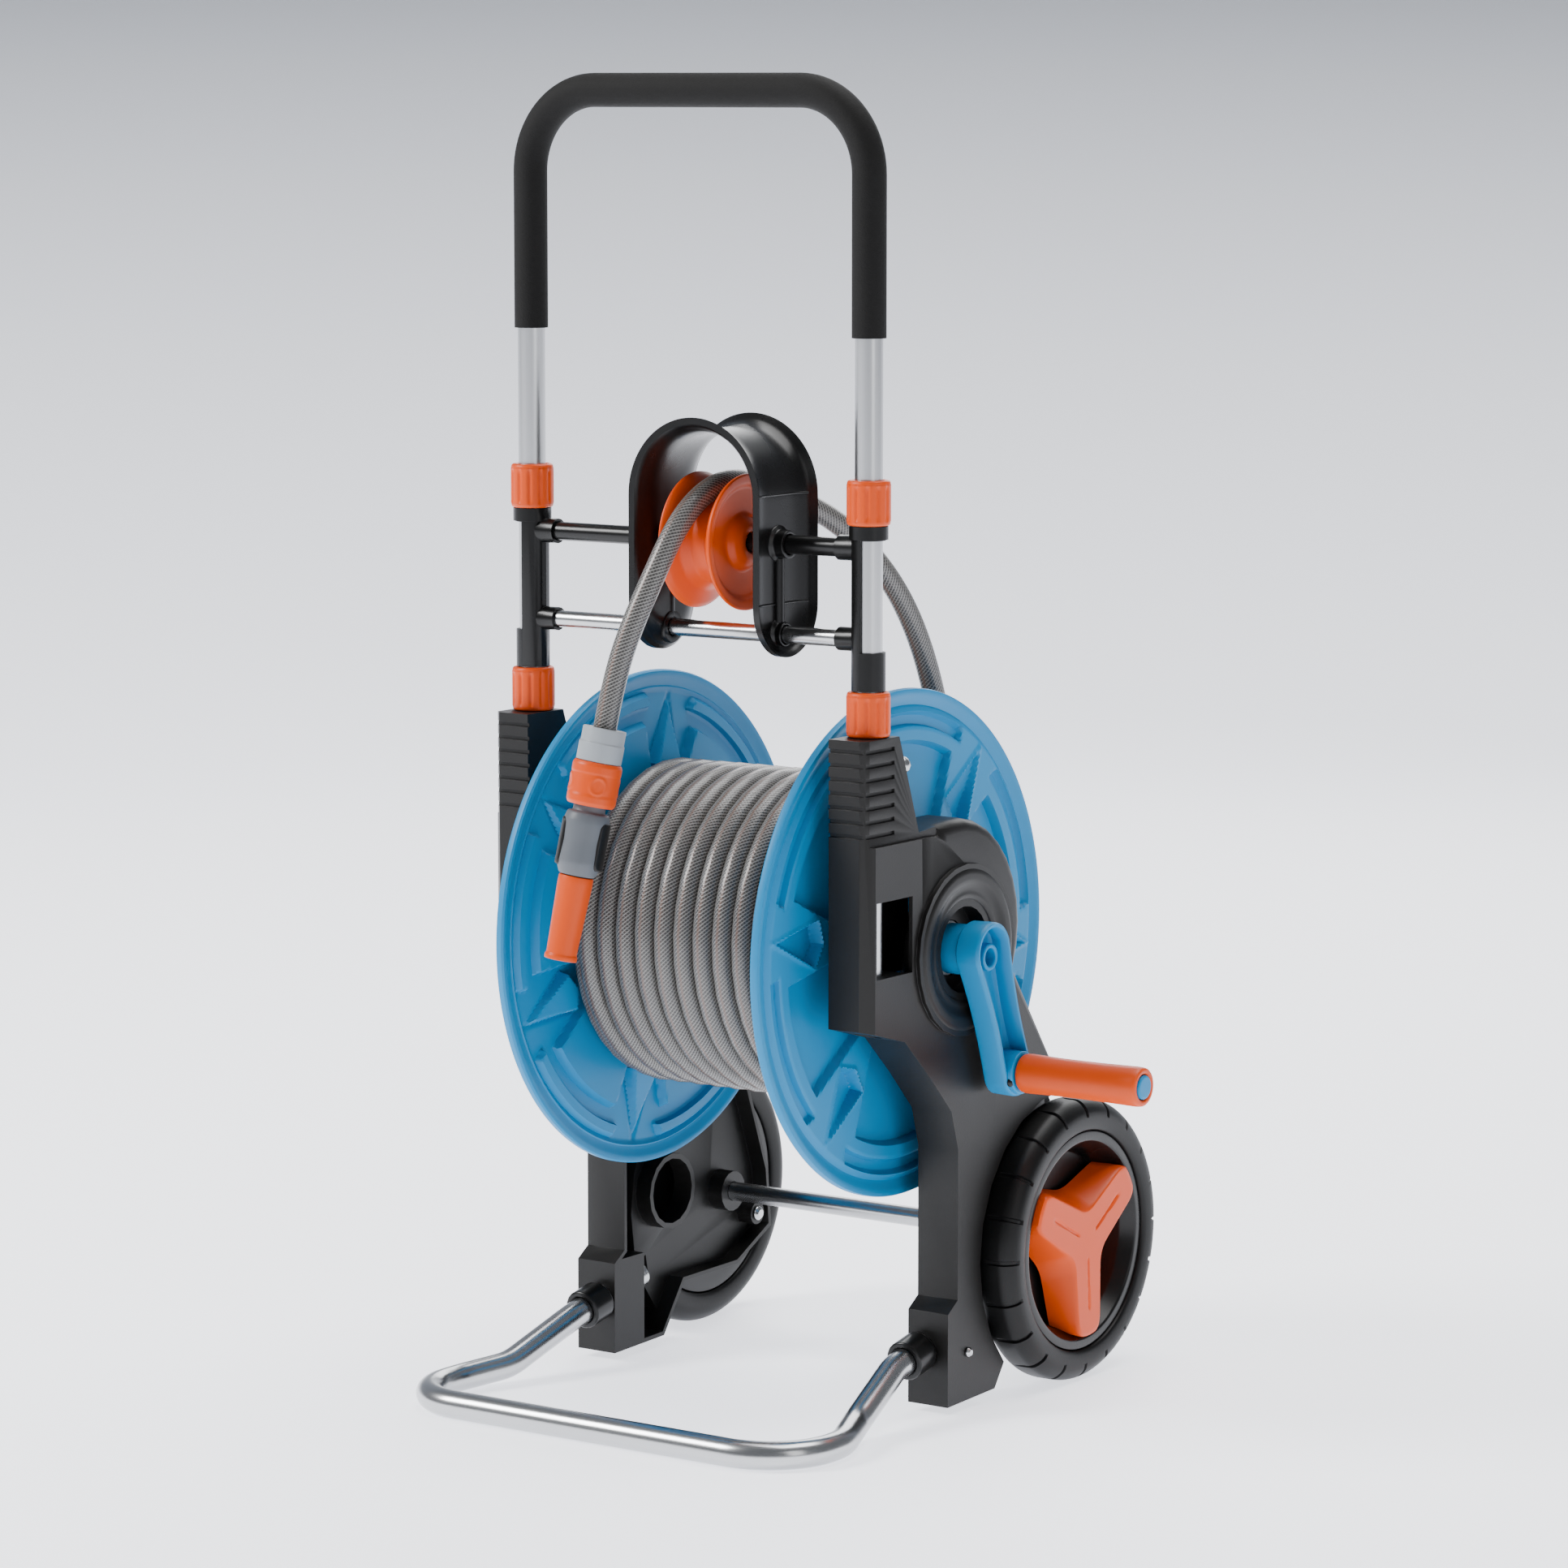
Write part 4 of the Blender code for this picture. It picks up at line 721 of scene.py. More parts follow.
def refined(
    node: str, body: Body, finish: Finish, edge: float = 0.8 * MM, sharp: float = SMOOTH_ANGLE,
    broad: Callable[[Vector], bool] | None = None, broad_width: float = 9 * MM,
) -> bpy.types.Object:
    """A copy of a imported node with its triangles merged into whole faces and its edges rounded.

    Args:
        node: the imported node, which the copy stands for.
        body: what it moves with.
        finish: its material.
        edge: the rounding's width.
        sharp: the angle past which an edge is rounded.
        broad: picks the square edges that get a broad rounding, by their middles in cart coordinates.
        broad_width: the broad rounding's width.

    Returns:
        The copy.
    """
    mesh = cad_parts[node].data.copy()
    work = bmesh.new()
    work.from_mesh(mesh)
    bmesh.ops.remove_doubles(work, verts=work.verts, dist=CAD_WELD)
    bmesh.ops.dissolve_limit(
        work, angle_limit=FLAT_ANGLE, verts=work.verts, edges=work.edges, delimit={"NORMAL"}
    )
    if broad is not None:
        chosen = [
            e for e in work.edges
            if e.is_manifold and e.calc_face_angle() > SQUARE_ANGLE
            and broad((e.verts[0].co + e.verts[1].co) / 2 - Vector(HOME))
        ]
        bmesh.ops.bevel(
            work, geom=chosen, offset=broad_width, offset_type="OFFSET", segments=6, profile=0.5,
            affect="EDGES", clamp_overlap=False,
        )
    work.to_mesh(mesh)
    work.free()
    obj = linked(f"{node}_moulded", mesh)
    bevel = obj.modifiers.new("edges", "BEVEL")
    bevel.width = edge
    bevel.segments = 2
    bevel.limit_method = "ANGLE"
    bevel.angle_limit = sharp
    bevel.use_clamp_overlap = True
    return settle(obj, body, finish, [node], sharp)


# ------------------------------------------------------------------ hose
@dataclass
class HoseRun:
    """The hose: wound on the core in layers, then free over the pulley and down to what is fitted."""

    fitted: list[bpy.types.Object] = field(default_factory=list)
    radius: float = 0.008
    axis: tuple[float, float] = DRUM_AXIS
    first_layer: float = 0.0653
    layer_step: float = 0.014
    layers: int = 4
    turns: int = 12
    pitch: float = 0.0164
    points_per_turn: int = 36
    route: tuple[Point, ...] = (
        (0.070, 0.2150, 0.3150), (0.070, 0.2155, 0.3500), (0.071, 0.2080, 0.4100),
        (0.070, 0.1860, 0.4950), (0.062, 0.1480, 0.5680), (0.043, 0.1000, 0.6160),
        (0.027, 0.0480, 0.6395), (0.022, 0.0000, 0.6462), (0.018, -0.0380, 0.6272),
        (0.011, -0.0650, 0.5870), (-0.002, -0.0840, 0.5340), (-0.009, -0.0940, 0.4850),
    )

    def wound(self) -> Array:
        """The winding's centreline, from the core out to where the free hose leaves it.

        A point is (x, r cos a, r sin a) about the drum's axis. In each layer x crosses the core by one
        pitch a turn, and in the layer's last turn x rests while r climbs to the next layer. The last
        climb ends where the free hose starts.

        Returns:
            The points.
        """
        end = np.array(self.route[0])
        axis_y, axis_z = self.axis
        last_r = math.hypot(end[1] - axis_y, end[2] - axis_z)
        last_a = math.atan2(end[2] - axis_z, end[1] - axis_y)
        total = self.layers * self.turns * self.points_per_turn
        turn = np.arange(total + 1) / self.points_per_turn
        layer = np.minimum(turn // self.turns, self.layers - 1)
        spot = turn - layer * self.turns
        half = self.pitch * (self.turns - 1) / 2
        across = half - self.pitch * np.minimum(spot, self.turns - 1)
        x = np.where(layer % 2 == 0, across, -across)
        climb = smoothstep(spot, self.turns - 1, self.turns)
        outermost = layer == self.layers - 1
        r = self.first_layer + self.layer_step * layer
        r = r + climb * np.where(outermost, last_r - r, self.layer_step)
        x = x + np.where(outermost, climb * (end[0] - x), 0.0)
        a = last_a + 2 * math.pi * (turn - turn[-1])
        return np.stack([x, axis_y + r * np.cos(a), axis_z + r * np.sin(a)], axis=1)

    def build(self) -> None:
        """Both hoses: the winding on the drum and the free run to the fittings."""
        wound, free = self.wound(), smooth_route(self.route)
        coil, line = swept(wound, self.radius, ALONG_X, 16), swept(free, self.radius, ALONG_X, 32)
        winding = make("hose_on_drum", coil, Body.DRUM, HOSE, ["hose_winding"])
        run = make("hose_to_fittings", line, Body.GUIDE, HOSE, ["hose_free"])


# ------------------------------------------------------------------ drum
@dataclass
class Drum:
    """The two flanges with their pressed panels, the core and the spindles."""

    centre: Point = (0.0, *DRUM_AXIS)
    plate: float = 0.1070
    wall: float = 0.0026
    hub: float = 0.054
    sectors: int = 6
    steps: int = 560
    starts: dict[Side, float] = field(
        default_factory=lambda: {Side.LEFT: math.radians(22), Side.RIGHT: math.radians(53)}
    )

    def relief(self, r: Array, a: Array, start: float) -> Array:
        """How far the plate stands out of its middle plane, towards the outside.

        Each sector has an arrowhead pocket that points at the rim, with wide wells between the
        arrowheads and a long trough under the rim. Each outline's distance field is the largest of its
        sides' distances; the surface falls over a soft edge just inside it, the arrowhead's floor rises
        towards its point, and a thin bead runs round it.

        Args:
            r: radii.
            a: angles.
            start: the first arrowhead's angle.

        Returns:
            The offset in metres.
        """
        r, a = np.broadcast_arrays(r, a)
        sector = 2 * math.pi / self.sectors
        turn = np.mod(a - start + sector / 2, sector) - sector / 2
        y, x = r * np.cos(turn), r * np.sin(turn)
        half = (0.157 - y) * 0.33
        arrow = np.maximum.reduce([x - half, -x - half, 0.101 + 0.45 * np.abs(x) - y])
        floor = 1 - smoothstep(arrow, -0.0022, 0.0)
        bead = np.exp(-(((arrow - 0.0010) / 0.0011) ** 2))
        turn = np.mod(a - start, sector) - sector / 2
        well = np.maximum.reduce([0.068 - r, r - 0.141, np.abs(turn) * r - 0.030 - (r - 0.068) * 0.20])
        dip = 1 - smoothstep(well, -0.0030, 0.0)
        trough = np.maximum.reduce([0.1500 - r, r - 0.1610, np.abs(turn) * r - 0.056])
        channel = 1 - smoothstep(trough, -0.0020, 0.0)
        depth = 0.0080 - 0.0060 * smoothstep(y, 0.104, 0.152)
        return 0.0020 - depth * floor + 0.0013 * bead - 0.0062 * dip - 0.0044 * channel

    def flange(self, side: Side) -> Shape:
        """One flange: its closed section carried round the axis, with the relief added to the plate.

        Args:
            side: which end of the drum.

        Returns:
            The surface.
        """
        rim = [
            (0.1655, 0.5), (0.1680, 1.0), (0.1715, 2.9), (0.1745, 3.6), (0.1764, 3.0), (0.1770, 1.6),
            (0.1770, -1.6), (0.1760, -3.0), (0.1742, -3.4), (0.1715, -2.6), (0.1685, -1.0), (0.1655, -0.5),
        ]
        reach = np.linspace(self.hub, 0.1645, 72)
        outer = np.stack([reach, np.full_like(reach, self.wall / 2)], axis=1)
        inner = np.stack([reach[::-1], np.full_like(reach, -self.wall / 2)], axis=1)
        lip = np.array([(r, h * MM) for r, h in rim])
        collar = np.array([(0.0165, -0.001), (0.0165, 0.008), (0.048, 0.008), (0.0535, 0.0055)])
        profile = np.concatenate([outer, lip, inner, collar])
        turn = np.linspace(0, 2 * math.pi, self.steps, endpoint=False)
        r, a = profile[:, :1], turn[None, :]
        fade = smoothstep(r, self.hub, 0.070) * (1 - smoothstep(r, 0.161, 0.1650))
        x = self.plate + profile[:, 1:] + self.relief(r, a, self.starts[side]) * fade
        points = np.stack(np.broadcast_arrays(side.value * x, r * np.cos(a), r * np.sin(a)), axis=-1)
        return grid(points + np.array(self.centre), True, True)

    def build(self) -> None:
        """Flanges, core, spindles and the elbow inside."""
        for side in Side:
            label = side.label
            make(f"pressed_flange_{label}", self.flange(side), Body.DRUM, BLUE, [f"flange_{label}"])
            refined(f"spindle_{label}", Body.DRUM, BLUE)
            refined(f"drum_bush_{label}", Body.CHASSIS, PALE)
        refined("drum_core", Body.DRUM, BLUE)
        refined("drum_elbow", Body.DRUM, GREY)


# ------------------------------------------------------------------ wheels
@dataclass
class Wheel:
    """A wheel: grooved tyre, black rim and deep three-armed spider."""

    side: Side
    centre_y: float = 0.2205
    radius: float = 0.1007
    inner_x: float = 0.1465
    width: float = 0.035
    rim_radius: float = 0.0787
    grooves: int = 20
    groove_half: float = 0.0011
    groove_depth: float = 0.0018
    bore: float = 0.0075
    hub_end: float = 0.1692
    arms: int = 3
    line_depth: float = 0.0012
    first_arm: float = math.radians(-87)

    def placed(self, x: Array, y: Array, z: Array) -> Array:
        """The points at these distances from the cart's middle plane and from the axle."""
        return np.stack([self.side.value * x, self.centre_y + y, self.radius + z], axis=-1)

    def tyre(self) -> Shape:
        """The tyre: a rounded section carried round the axle, cut by short grooves over its shoulder.

        A groove sinks the surface towards the section's middle by a depth that falls from 1 to 0
        between one and 1.5 half-widths from its centre line, on the tread's outer part and shoulder.

        Returns:
            The surface.
        """
        low, high, seat = self.inner_x, self.inner_x + self.width, self.rim_radius
        outline = [
            (seat, low + 0.003), (seat, high - 0.003), (seat + 0.002, high - 0.001), (seat + 0.0105, high),
            (self.radius - 0.006, high - 0.0015), (self.radius, high - 0.0080), (self.radius, low + 0.0080),
            (self.radius - 0.006, low + 0.0015), (seat + 0.0105, low), (seat + 0.002, low + 0.001),
        ]
        profile = softened(outline, 0.004, 4)
        half_spread = np.array([0.5, 1.0, 1.25, 1.7, 3.2]) * self.groove_half / self.radius
        spread = np.concatenate([-half_spread[::-1], [0.0], half_spread])
        pitch = 2 * math.pi / self.grooves
        fill = np.linspace(spread[-1], pitch + spread[0], 7)[1:-1]
        angles = (np.arange(self.grooves)[:, None] * pitch + np.concatenate([spread, fill])).ravel()
        off = np.abs(np.mod(angles + pitch / 2, pitch) - pitch / 2) * self.radius
        cut = 1 - smoothstep(off, self.groove_half, 1.5 * self.groove_half)
        r, x = profile[:, 0], profile[:, 1]
        over = smoothstep(x, high - 0.020, high - 0.018) * smoothstep(r, seat + 0.010, seat + 0.012)
        sink = self.groove_depth * over[:, None] * cut[None, :]
        middle = np.array([self.radius - 0.012, (low + high) / 2])
        inward = unit(middle - profile)
        r = profile[:, :1] + sink * inward[:, :1]
        x = profile[:, 1:] + sink * inward[:, 1:]
        return grid(self.placed(x, r * np.cos(angles), r * np.sin(angles)), True, True)

    def rim(self) -> Shape:
        """The rim: a lipped barrel, a web near the cart and a hub on the axle.

        Returns:
            The surface.
        """
        low, high = self.inner_x + 0.003, self.inner_x + self.width - 0.0035
        edge, start = self.rim_radius - 0.0004, self.inner_x + 0.0005
        outline = [
            (edge, high), (edge, low), (0.070, low), (0.016, low + 0.002), (0.016, start),
            (self.bore, start), (self.bore, self.hub_end), (0.016, self.hub_end), (0.016, low + 0.006),
            (0.062, low + 0.006), (0.0655, high - 0.010), (0.0700, high - 0.0025), (0.0715, high),
        ]
        return turned(
            softened(outline, 0.0012, 3), (0.0, self.centre_y, self.radius), self.side.outward, 120
        )

    def star(self, reach: float, half: float, waist: float) -> Array:
        """The spider's outline about its centre: square-ended arms joined by waists.

        Args:
            reach: the arms' length.
            half: half their width at the end.
            waist: how far the waist between two arms is from the centre.

        Returns:
            The points, as (y, z).
        """
        arm = self.first_arm + np.arange(self.arms)[:, None] * 2 * math.pi / self.arms
        out = np.concatenate([np.cos(arm), np.sin(arm)], axis=1)
        across = np.stack([-out[:, 1], out[:, 0]], axis=1)
        gap = arm + math.pi / self.arms
        middle = np.concatenate([np.cos(gap), np.sin(gap)], axis=1) * waist
        end, side = out * reach, across * half
        corners = np.stack([end - side, out * (reach + 0.002), end + side, middle], axis=1)
        return softened(corners.reshape(-1, 2), 0.011, 8)

    def spider(self) -> Shape:
        """The spider: from a wide foot to a narrower face with an engraved line on each arm.

        Ring k is (1 - s) of the foot's outline and s of the face's, and past the face's edge the rings
        shrink to the centre. The face sinks by a groove where a point is near an arm's middle line.

        Returns:
            The surface.
        """
        foot, face = self.star(0.0655, 0.0175, 0.034), self.star(0.0680, 0.0140, 0.020)
        low, high = self.inner_x + 0.013, self.inner_x + self.width + 0.0005
        rings = [(0.0, low, 0.0), (0.0, low, 1.0), (0.45, high - 0.012, 1.0), (0.85, high - 0.0030, 1.0)]
        rings += [(0.96, high - 0.0010, 0.995), (1.0, high - 0.0002, 0.975), (1.0, high, 0.95)]
        rings += [(1.0, high, share) for share in np.linspace(0.92, 0.0, 44)]
        mix, x, share = (np.array(column)[:, None] for column in zip(*rings))
        at = (foot[None] * (1 - mix[..., None]) + face[None] * mix[..., None]) * share[..., None]
        arm = self.first_arm + np.arange(self.arms) * 2 * math.pi / self.arms
        along = at[..., 0:1] * np.cos(arm) + at[..., 1:2] * np.sin(arm)
        off = np.abs(at[..., 1:2] * np.cos(arm) - at[..., 0:1] * np.sin(arm))
        line = 1 - smoothstep(off, 0.0005, 0.0014)
        line = line * smoothstep(along, 0.012, 0.015) * (1 - smoothstep(along, 0.048, 0.051))
        x = x - self.line_depth * line.max(axis=-1) * (share < 0.95)
        return grid(self.placed(x, at[..., 0], at[..., 1]), False, True)

    def build(self) -> None:
        """Tyre, rim and spider."""
        label = self.side.label
        body = Body(f"wheel_{label}")
        make(f"grooved_tyre_{label}", self.tyre(), body, TYRE, [f"tyre_{label}"])
        make(f"moulded_rim_{label}", self.rim(), body, BLACK_SMOOTH, [f"rim_{label}"])
        make(f"moulded_spider_{label}", self.spider(), body, ORANGE, [f"spider_{label}"], SOFT_ANGLE)


# ------------------------------------------------------------------ handle
@dataclass
class Handle:
    """The bent aluminium handle with its foam grip, leg plugs and fluted clamping collars."""

    leg_x: float = 0.1417
    radius: float = 0.0095
    top: float = 0.9116
    bend: float = 0.056
    leg_end: float = 0.305
    foam_wall: float = 0.0022
    foam_end: float = 0.7477
    collar_radius: float = 0.015
    flutes: int = 12
    flute_depth: float = 0.0010

    def path(self, end: float) -> Array:
        """The handle's centreline from one leg's end, over the top, to the other's.

        Args:
            end: the height at which both legs end.

        Returns:
            The points.
        """
        x, top = self.leg_x, self.top
        corners = [(-x, 0.0, end), (-x, 0.0, top), (x, 0.0, top), (x, 0.0, end)]
        return rounded_path(corners, [0, self.bend, self.bend, 0])

    def collar(self, node: str) -> Shape:
        """A collar: a rounded sleeve whose middle is cut by flutes.

        A flute lowers the radius by |cos|^8 of half its phase, and fades out at both ends.

        Args:
            node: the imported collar, which gives its place and height.

        Returns:
            The surface.
        """
        low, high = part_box(node)
        half = (high.z - low.z) / 2
        centre = (float((low.x + high.x) / 2 - HOME[0]), 0.0, float((low.z + high.z) / 2))
        r, bore = self.collar_radius, self.radius + 0.0003
        outline = [
            (bore, half), (bore, -half), (r - 0.0004, -half), (r, -half * 0.5), (r, 0.0), (r, half * 0.5),
            (r - 0.0004, half),
        ]
        profile = softened(outline, 0.0022, 4)

        def flute(at: Array, turn: Array) -> Array:
            """The radius lost to the flutes.

            Args:
                at: rows of (radius, height).
                turn: angles.

            Returns:
                What is added to the radius.
            """
            fade = 1 - smoothstep(np.abs(at[..., 1]), half * 0.62, half * 0.82)
            outside = (at[..., 0] > r - 0.0012) * fade
            return -self.flute_depth * outside * np.abs(np.cos(turn * self.flutes / 2)) ** 8

        more = np.linspace(-0.8, 0.8, 19)[:, None] * half
        straight = np.concatenate([np.full_like(more, r), more], axis=1)
        flat = (profile[:, 0] > r - 0.0001) & (np.abs(profile[:, 1]) < half * 0.8)
        first = int(np.flatnonzero(flat)[0])
        profile = np.concatenate([profile[:first], straight, profile[first:][~flat[first:]]])
        return turned(profile, centre, steps=self.flutes * 14, ripple=flute)

    def build(self) -> None:
        """Tube, grip, plugs and collars."""
        tube = swept(self.path(self.leg_end), self.radius, ALONG_Y, 40)
        make("bent_tube", tube, Body.HANDLE, ALUMINIUM, ["handle_tube"])
        sleeve = swept(self.path(self.foam_end), self.radius + self.foam_wall, ALONG_Y, 48)
        make("foam_sleeve", sleeve, Body.HANDLE, FOAM, ["foam_grip"])
        for side in Side:
            refined(f"leg_plug_{side.label}", Body.HANDLE, BLACK)
        for node in (f"{level}_collar_{side.label}" for level in ("lower", "upper") for side in Side):
            make(f"fluted_{node}", self.collar(node), Body(f"{node}_body"), ORANGE, [node])


# ------------------------------------------------------------------ frames, bars and foot loop
@dataclass
class Chassis:
    """The moulded side frames, brackets, bars, axle and foot loop."""

    hub: tuple[float, float] = DRUM_AXIS
    outer_face: float = 0.1594
    broad_y: float = 0.05  # the broad rounding's edges lie behind this,
    broad_z: float = 0.25  # above this,
    broad_r: float = 0.066  # and farther from the hub than this
    loop_radius: float = 0.0097
    socket: Point = (0.139, 0.0, 0.045)
    loop_end: tuple[float, float] = (0.118, 0.055)
    foot_front: float = 0.0727
    loop_front: float = -0.126
    loop_half: float = 0.164
    loop_corner: float = 0.048

    def loop_path(self) -> Array:
        """The foot loop's centreline, from inside one foot round the front to inside the other.

        Returns:
            The points.
        """
        x, _, z = self.socket
        r = self.loop_radius
        half = [
            (x, self.loop_end[0], self.loop_end[1]),
            (x, self.foot_front - 0.036, z - 0.007),
            (x + 0.010, -0.024, r + 0.004),
            (self.loop_half, self.loop_front + self.loop_corner + 0.016, r),
            (self.loop_half, self.loop_front, r),
        ]
        radii = [0, 0.050, 0.050, 0.05, self.loop_corner]
        other = [(-p[0], p[1], p[2]) for p in half[::-1]]
        return rounded_path(half + other, radii + radii[::-1])

    def on_outline(self, point: Vector) -> bool:
        """Whether a point is on the outer edge of a frame's arch or back.

        Args:
            point: a point in the cart's coordinates.

        Returns:
            Whether it is.
        """
        from_hub = math.hypot(point.y - self.hub[0], point.z - self.hub[1])
        behind = point.y > self.broad_y and point.z > self.broad_z
        return abs(point.x) > self.outer_face and behind and from_hub > self.broad_r

    def hub_ring(self, side: Side) -> Shape:
        """The raised ring round the hub's recess, with a step inside it.

        Args:
            side: which frame.

        Returns:
            The surface.
        """
        outline = [
            (0.0345, 0.1500), (0.0345, 0.1608), (0.0375, 0.1622), (0.0410, 0.1618), (0.0440, 0.1624),
            (0.0475, 0.1642), (0.0545, 0.1642), (0.0610, 0.1592), (0.0610, 0.1500),
        ]
        return turned(softened(outline, 0.0022, 5), (0.0, *self.hub), side.outward, 96)

    def window_back(self, side: Side) -> Shape:
        """The wall behind the leg in the frame's window.

        Args:
            side: which frame.

        Returns:
            The surface.
        """
        low, high = 0.1275, 0.1290
        corner = [(-0.0180, 0.312), (0.0680, 0.312), (0.0680, 0.376), (-0.0180, 0.376)]
        loop = np.array([[(side.value * x, y, z) for y, z in corner] for x in (low, high)])
        ends = np.stack([loop.mean(axis=1)] * 4, axis=1)
        rings = np.concatenate([ends[:1], loop, ends[1:]])
        return grid(rings, False, True)

    def build(self) -> None:
        """Every fixed piece."""
        for side in Side:
            label = side.label
            refined(f"side_frame_{label}", Body.CHASSIS, BLACK, 1.0 * MM, broad=self.on_outline)
            make(f"hub_ring_{label}", self.hub_ring(side), Body.CHASSIS, BLACK, sharp=SOFT_ANGLE)
            make(f"window_back_{label}", self.window_back(side), Body.CHASSIS, BLACK)
            refined(f"foot_collar_{label}", Body.CHASSIS, BLACK_SMOOTH, 1.2 * MM)
            refined(f"leg_bracket_{label}", Body.CHASSIS, BLACK_SMOOTH)
            for part in ("axle_cap", "ball_stud", "rear_screw", "foot_screw"):
                refined(f"{part}_{label}", Body.CHASSIS, STEEL, 0.4 * MM)
        loop = swept(self.loop_path(), self.loop_radius, ALONG_Z, 40)
        make("bent_foot_loop", loop, Body.CHASSIS, STEEL, ["foot_loop"])
        refined("wheel_axle", Body.CHASSIS, STEEL)
        refined("upper_bar", Body.CHASSIS, BLACK_SMOOTH)
        refined("lower_bar", Body.CHASSIS, STEEL)


# ------------------------------------------------------------------ guide, crank, fittings, inlet
@dataclass
class Guide:
    """The arched hose guide with its flared rims, ribs and bosses, and the pulley inside it."""

    centre_x: float = 0.022
    half: float = 0.0445
    depth: float = 0.035
    spring_z: float = 0.638
    lobe_z: float = 0.565
    wall: float = 0.003
    flare: float = 0.0075
    rim: float = 0.0024
    bar_z: float = 0.6068
    low_bar_z: float = 0.5454
    flare_width: float = 0.024
    ribs: tuple[float, ...] = (0.640, 0.566)
    rib_half: float = 0.030
    upper_boss: Point = (0.0098, 0.0071, 0.011)  # radius, bore and reach
    lower_boss: Point = (0.0082, 0.0066, 0.008)
    crisp: float = math.radians(45)

    def outline(self, rows: int) -> tuple[Array, Array, Array]:
        """The arch's middle line in the XZ plane, and how far below the lobes' centre each point is.

        Up the left cheek, round half a circle, and down the right cheek.

        Args:
            rows: points along each cheek.

        Returns:
            The points as (x, z), their outward directions, and the depths below the lobes' centre.
        """
        fall = self.depth * np.sin(np.linspace(math.pi / 2, 0, rows))
        cheek = np.linspace(self.lobe_z, self.spring_z, rows + 1)[1:]
        rise = np.concatenate([self.lobe_z - fall, cheek])
        turn = np.linspace(math.pi, 0, 2 * rows + 1)[1:-1]
        arc = np.stack([np.cos(turn), np.sin(turn)], axis=1)
        left = np.stack([np.full_like(rise, -self.half), rise], axis=1)
        middle = arc * self.half + (0.0, self.spring_z)
        right = left[::-1] * (-1, 1)
        level = np.tile([1.0, 0.0], (len(left), 1))
        way = np.concatenate([-level, arc, level])
        points = np.concatenate([left, middle, right]) + (self.centre_x, 0.0)
        return points, way, np.maximum(self.lobe_z - points[:, 1], 0.0)

    def shell(self) -> Shape:
        """The housing: a wall along the arch whose two edges flare outwards and thicken into rims.

        Across the arch y = w sin(u), where w is the half width, which below the lobes' centre is that
        of a circle. The flare grows as the cube of how near the point is to the edge.

        Returns:
            The closed surface.
        """
        points, way, below = self.outline(26)
        width = np.sqrt(np.maximum(self.depth**2 - below**2, 1e-9))
        across = np.linspace(-1, 1, 41)
        y = width[:, None] * across[None, :]
        to_edge = self.depth - np.hypot(y, below[:, None])
        near = np.clip(1 - to_edge / self.flare_width, 0, 1)
        out = self.flare * near**3
        thick = self.wall / 2 + (self.rim - self.wall / 2) * smoothstep(near, 0.80, 0.92)
        sheets = []
        for sign in (1, -1):
            moved = points[:, None] + (out + sign * thick)[..., None] * way[:, None]
            sheets.append(np.stack([moved[..., 0], y, moved[..., 1]], axis=-1))
        loop = np.concatenate([sheets[0], sheets[1][:, ::-1]], axis=1)
        return grid(loop, False, True)

    def rib(self, side: Side, z: float, half: float) -> Shape:
        """A thin moulded rib across a cheek's outside, rising with a rounded back.

        Args:
            side: which cheek.
            z: its height.
            half: half its length.

        Returns:
            The surface.
        """
        y = np.linspace(-half, half, 24)
        near = np.clip(1 - (self.depth - np.abs(y)) / self.flare_width, 0, 1)
        x = self.centre_x + side.value * (self.half + self.wall / 2 + self.flare * near**3)
        path = np.stack([x, y, np.full_like(y, z)], axis=1)
        return swept(path, 0.0009, ALONG_Z, 10)

    def boss(self, side: Side, z: float, radius: float, bore: float, reach: float) -> Shape:
        """A round boss on a cheek for a bar: a stepped, softened ring.

        Args:
            side: which cheek.
            z: its height.
            radius: its outer radius.
            bore: its hole.
            reach: how far it stands out of the cheek.

        Returns:
            The surface.
        """
        start = self.half - self.wall / 2 - 0.001
        end = self.half + reach
        foot = radius + 0.003
        outline = [
            (bore, start), (foot, start), (foot, self.half + 0.002), (radius, self.half + 0.004),
            (radius, end), (bore, end),
        ]
        return turned(softened(outline, 0.0008, 3), (self.centre_x, 0.0, z), side.outward, 48)

    def pulley(self) -> Shape:
        """The pulley: two dished discs joined by a round-bottomed groove, with stepped hubs.

        Returns:
            The surface.
        """
        outline = [(0.0465, 0.0215), (0.0468, 0.0195), (0.0440, 0.0165), (0.0345, 0.0120), (0.0295, 0.0060)]
        groove = outline + [(r, -h) for r, h in outline[::-1]]
        back = [
            (0.040, -0.0205), (0.037, -0.0175), (0.020, -0.0165), (0.0165, -0.0215), (0.012, -0.0245),
            (0.0069, -0.0245),
        ]
        profile = softened(groove + back + [(r, -h) for r, h in back[::-1]], 0.0016, 4)
        return turned(profile, (self.centre_x, 0.0, self.bar_z), ALONG_X, 96)

    def strut(self, side: Side) -> Shape:
        """The upright channel on a cheek between its two bosses, a half-round bar.

        Args:
            side: which cheek.

        Returns:
            The surface.
        """
        z = np.linspace(self.low_bar_z + 0.008, self.bar_z - 0.010, 12)
        x = np.full_like(z, self.centre_x + side.value * (self.half + self.wall / 2))
        return swept(np.stack([x, np.zeros_like(z), z], axis=1), 0.0042, ALONG_Y, 12)

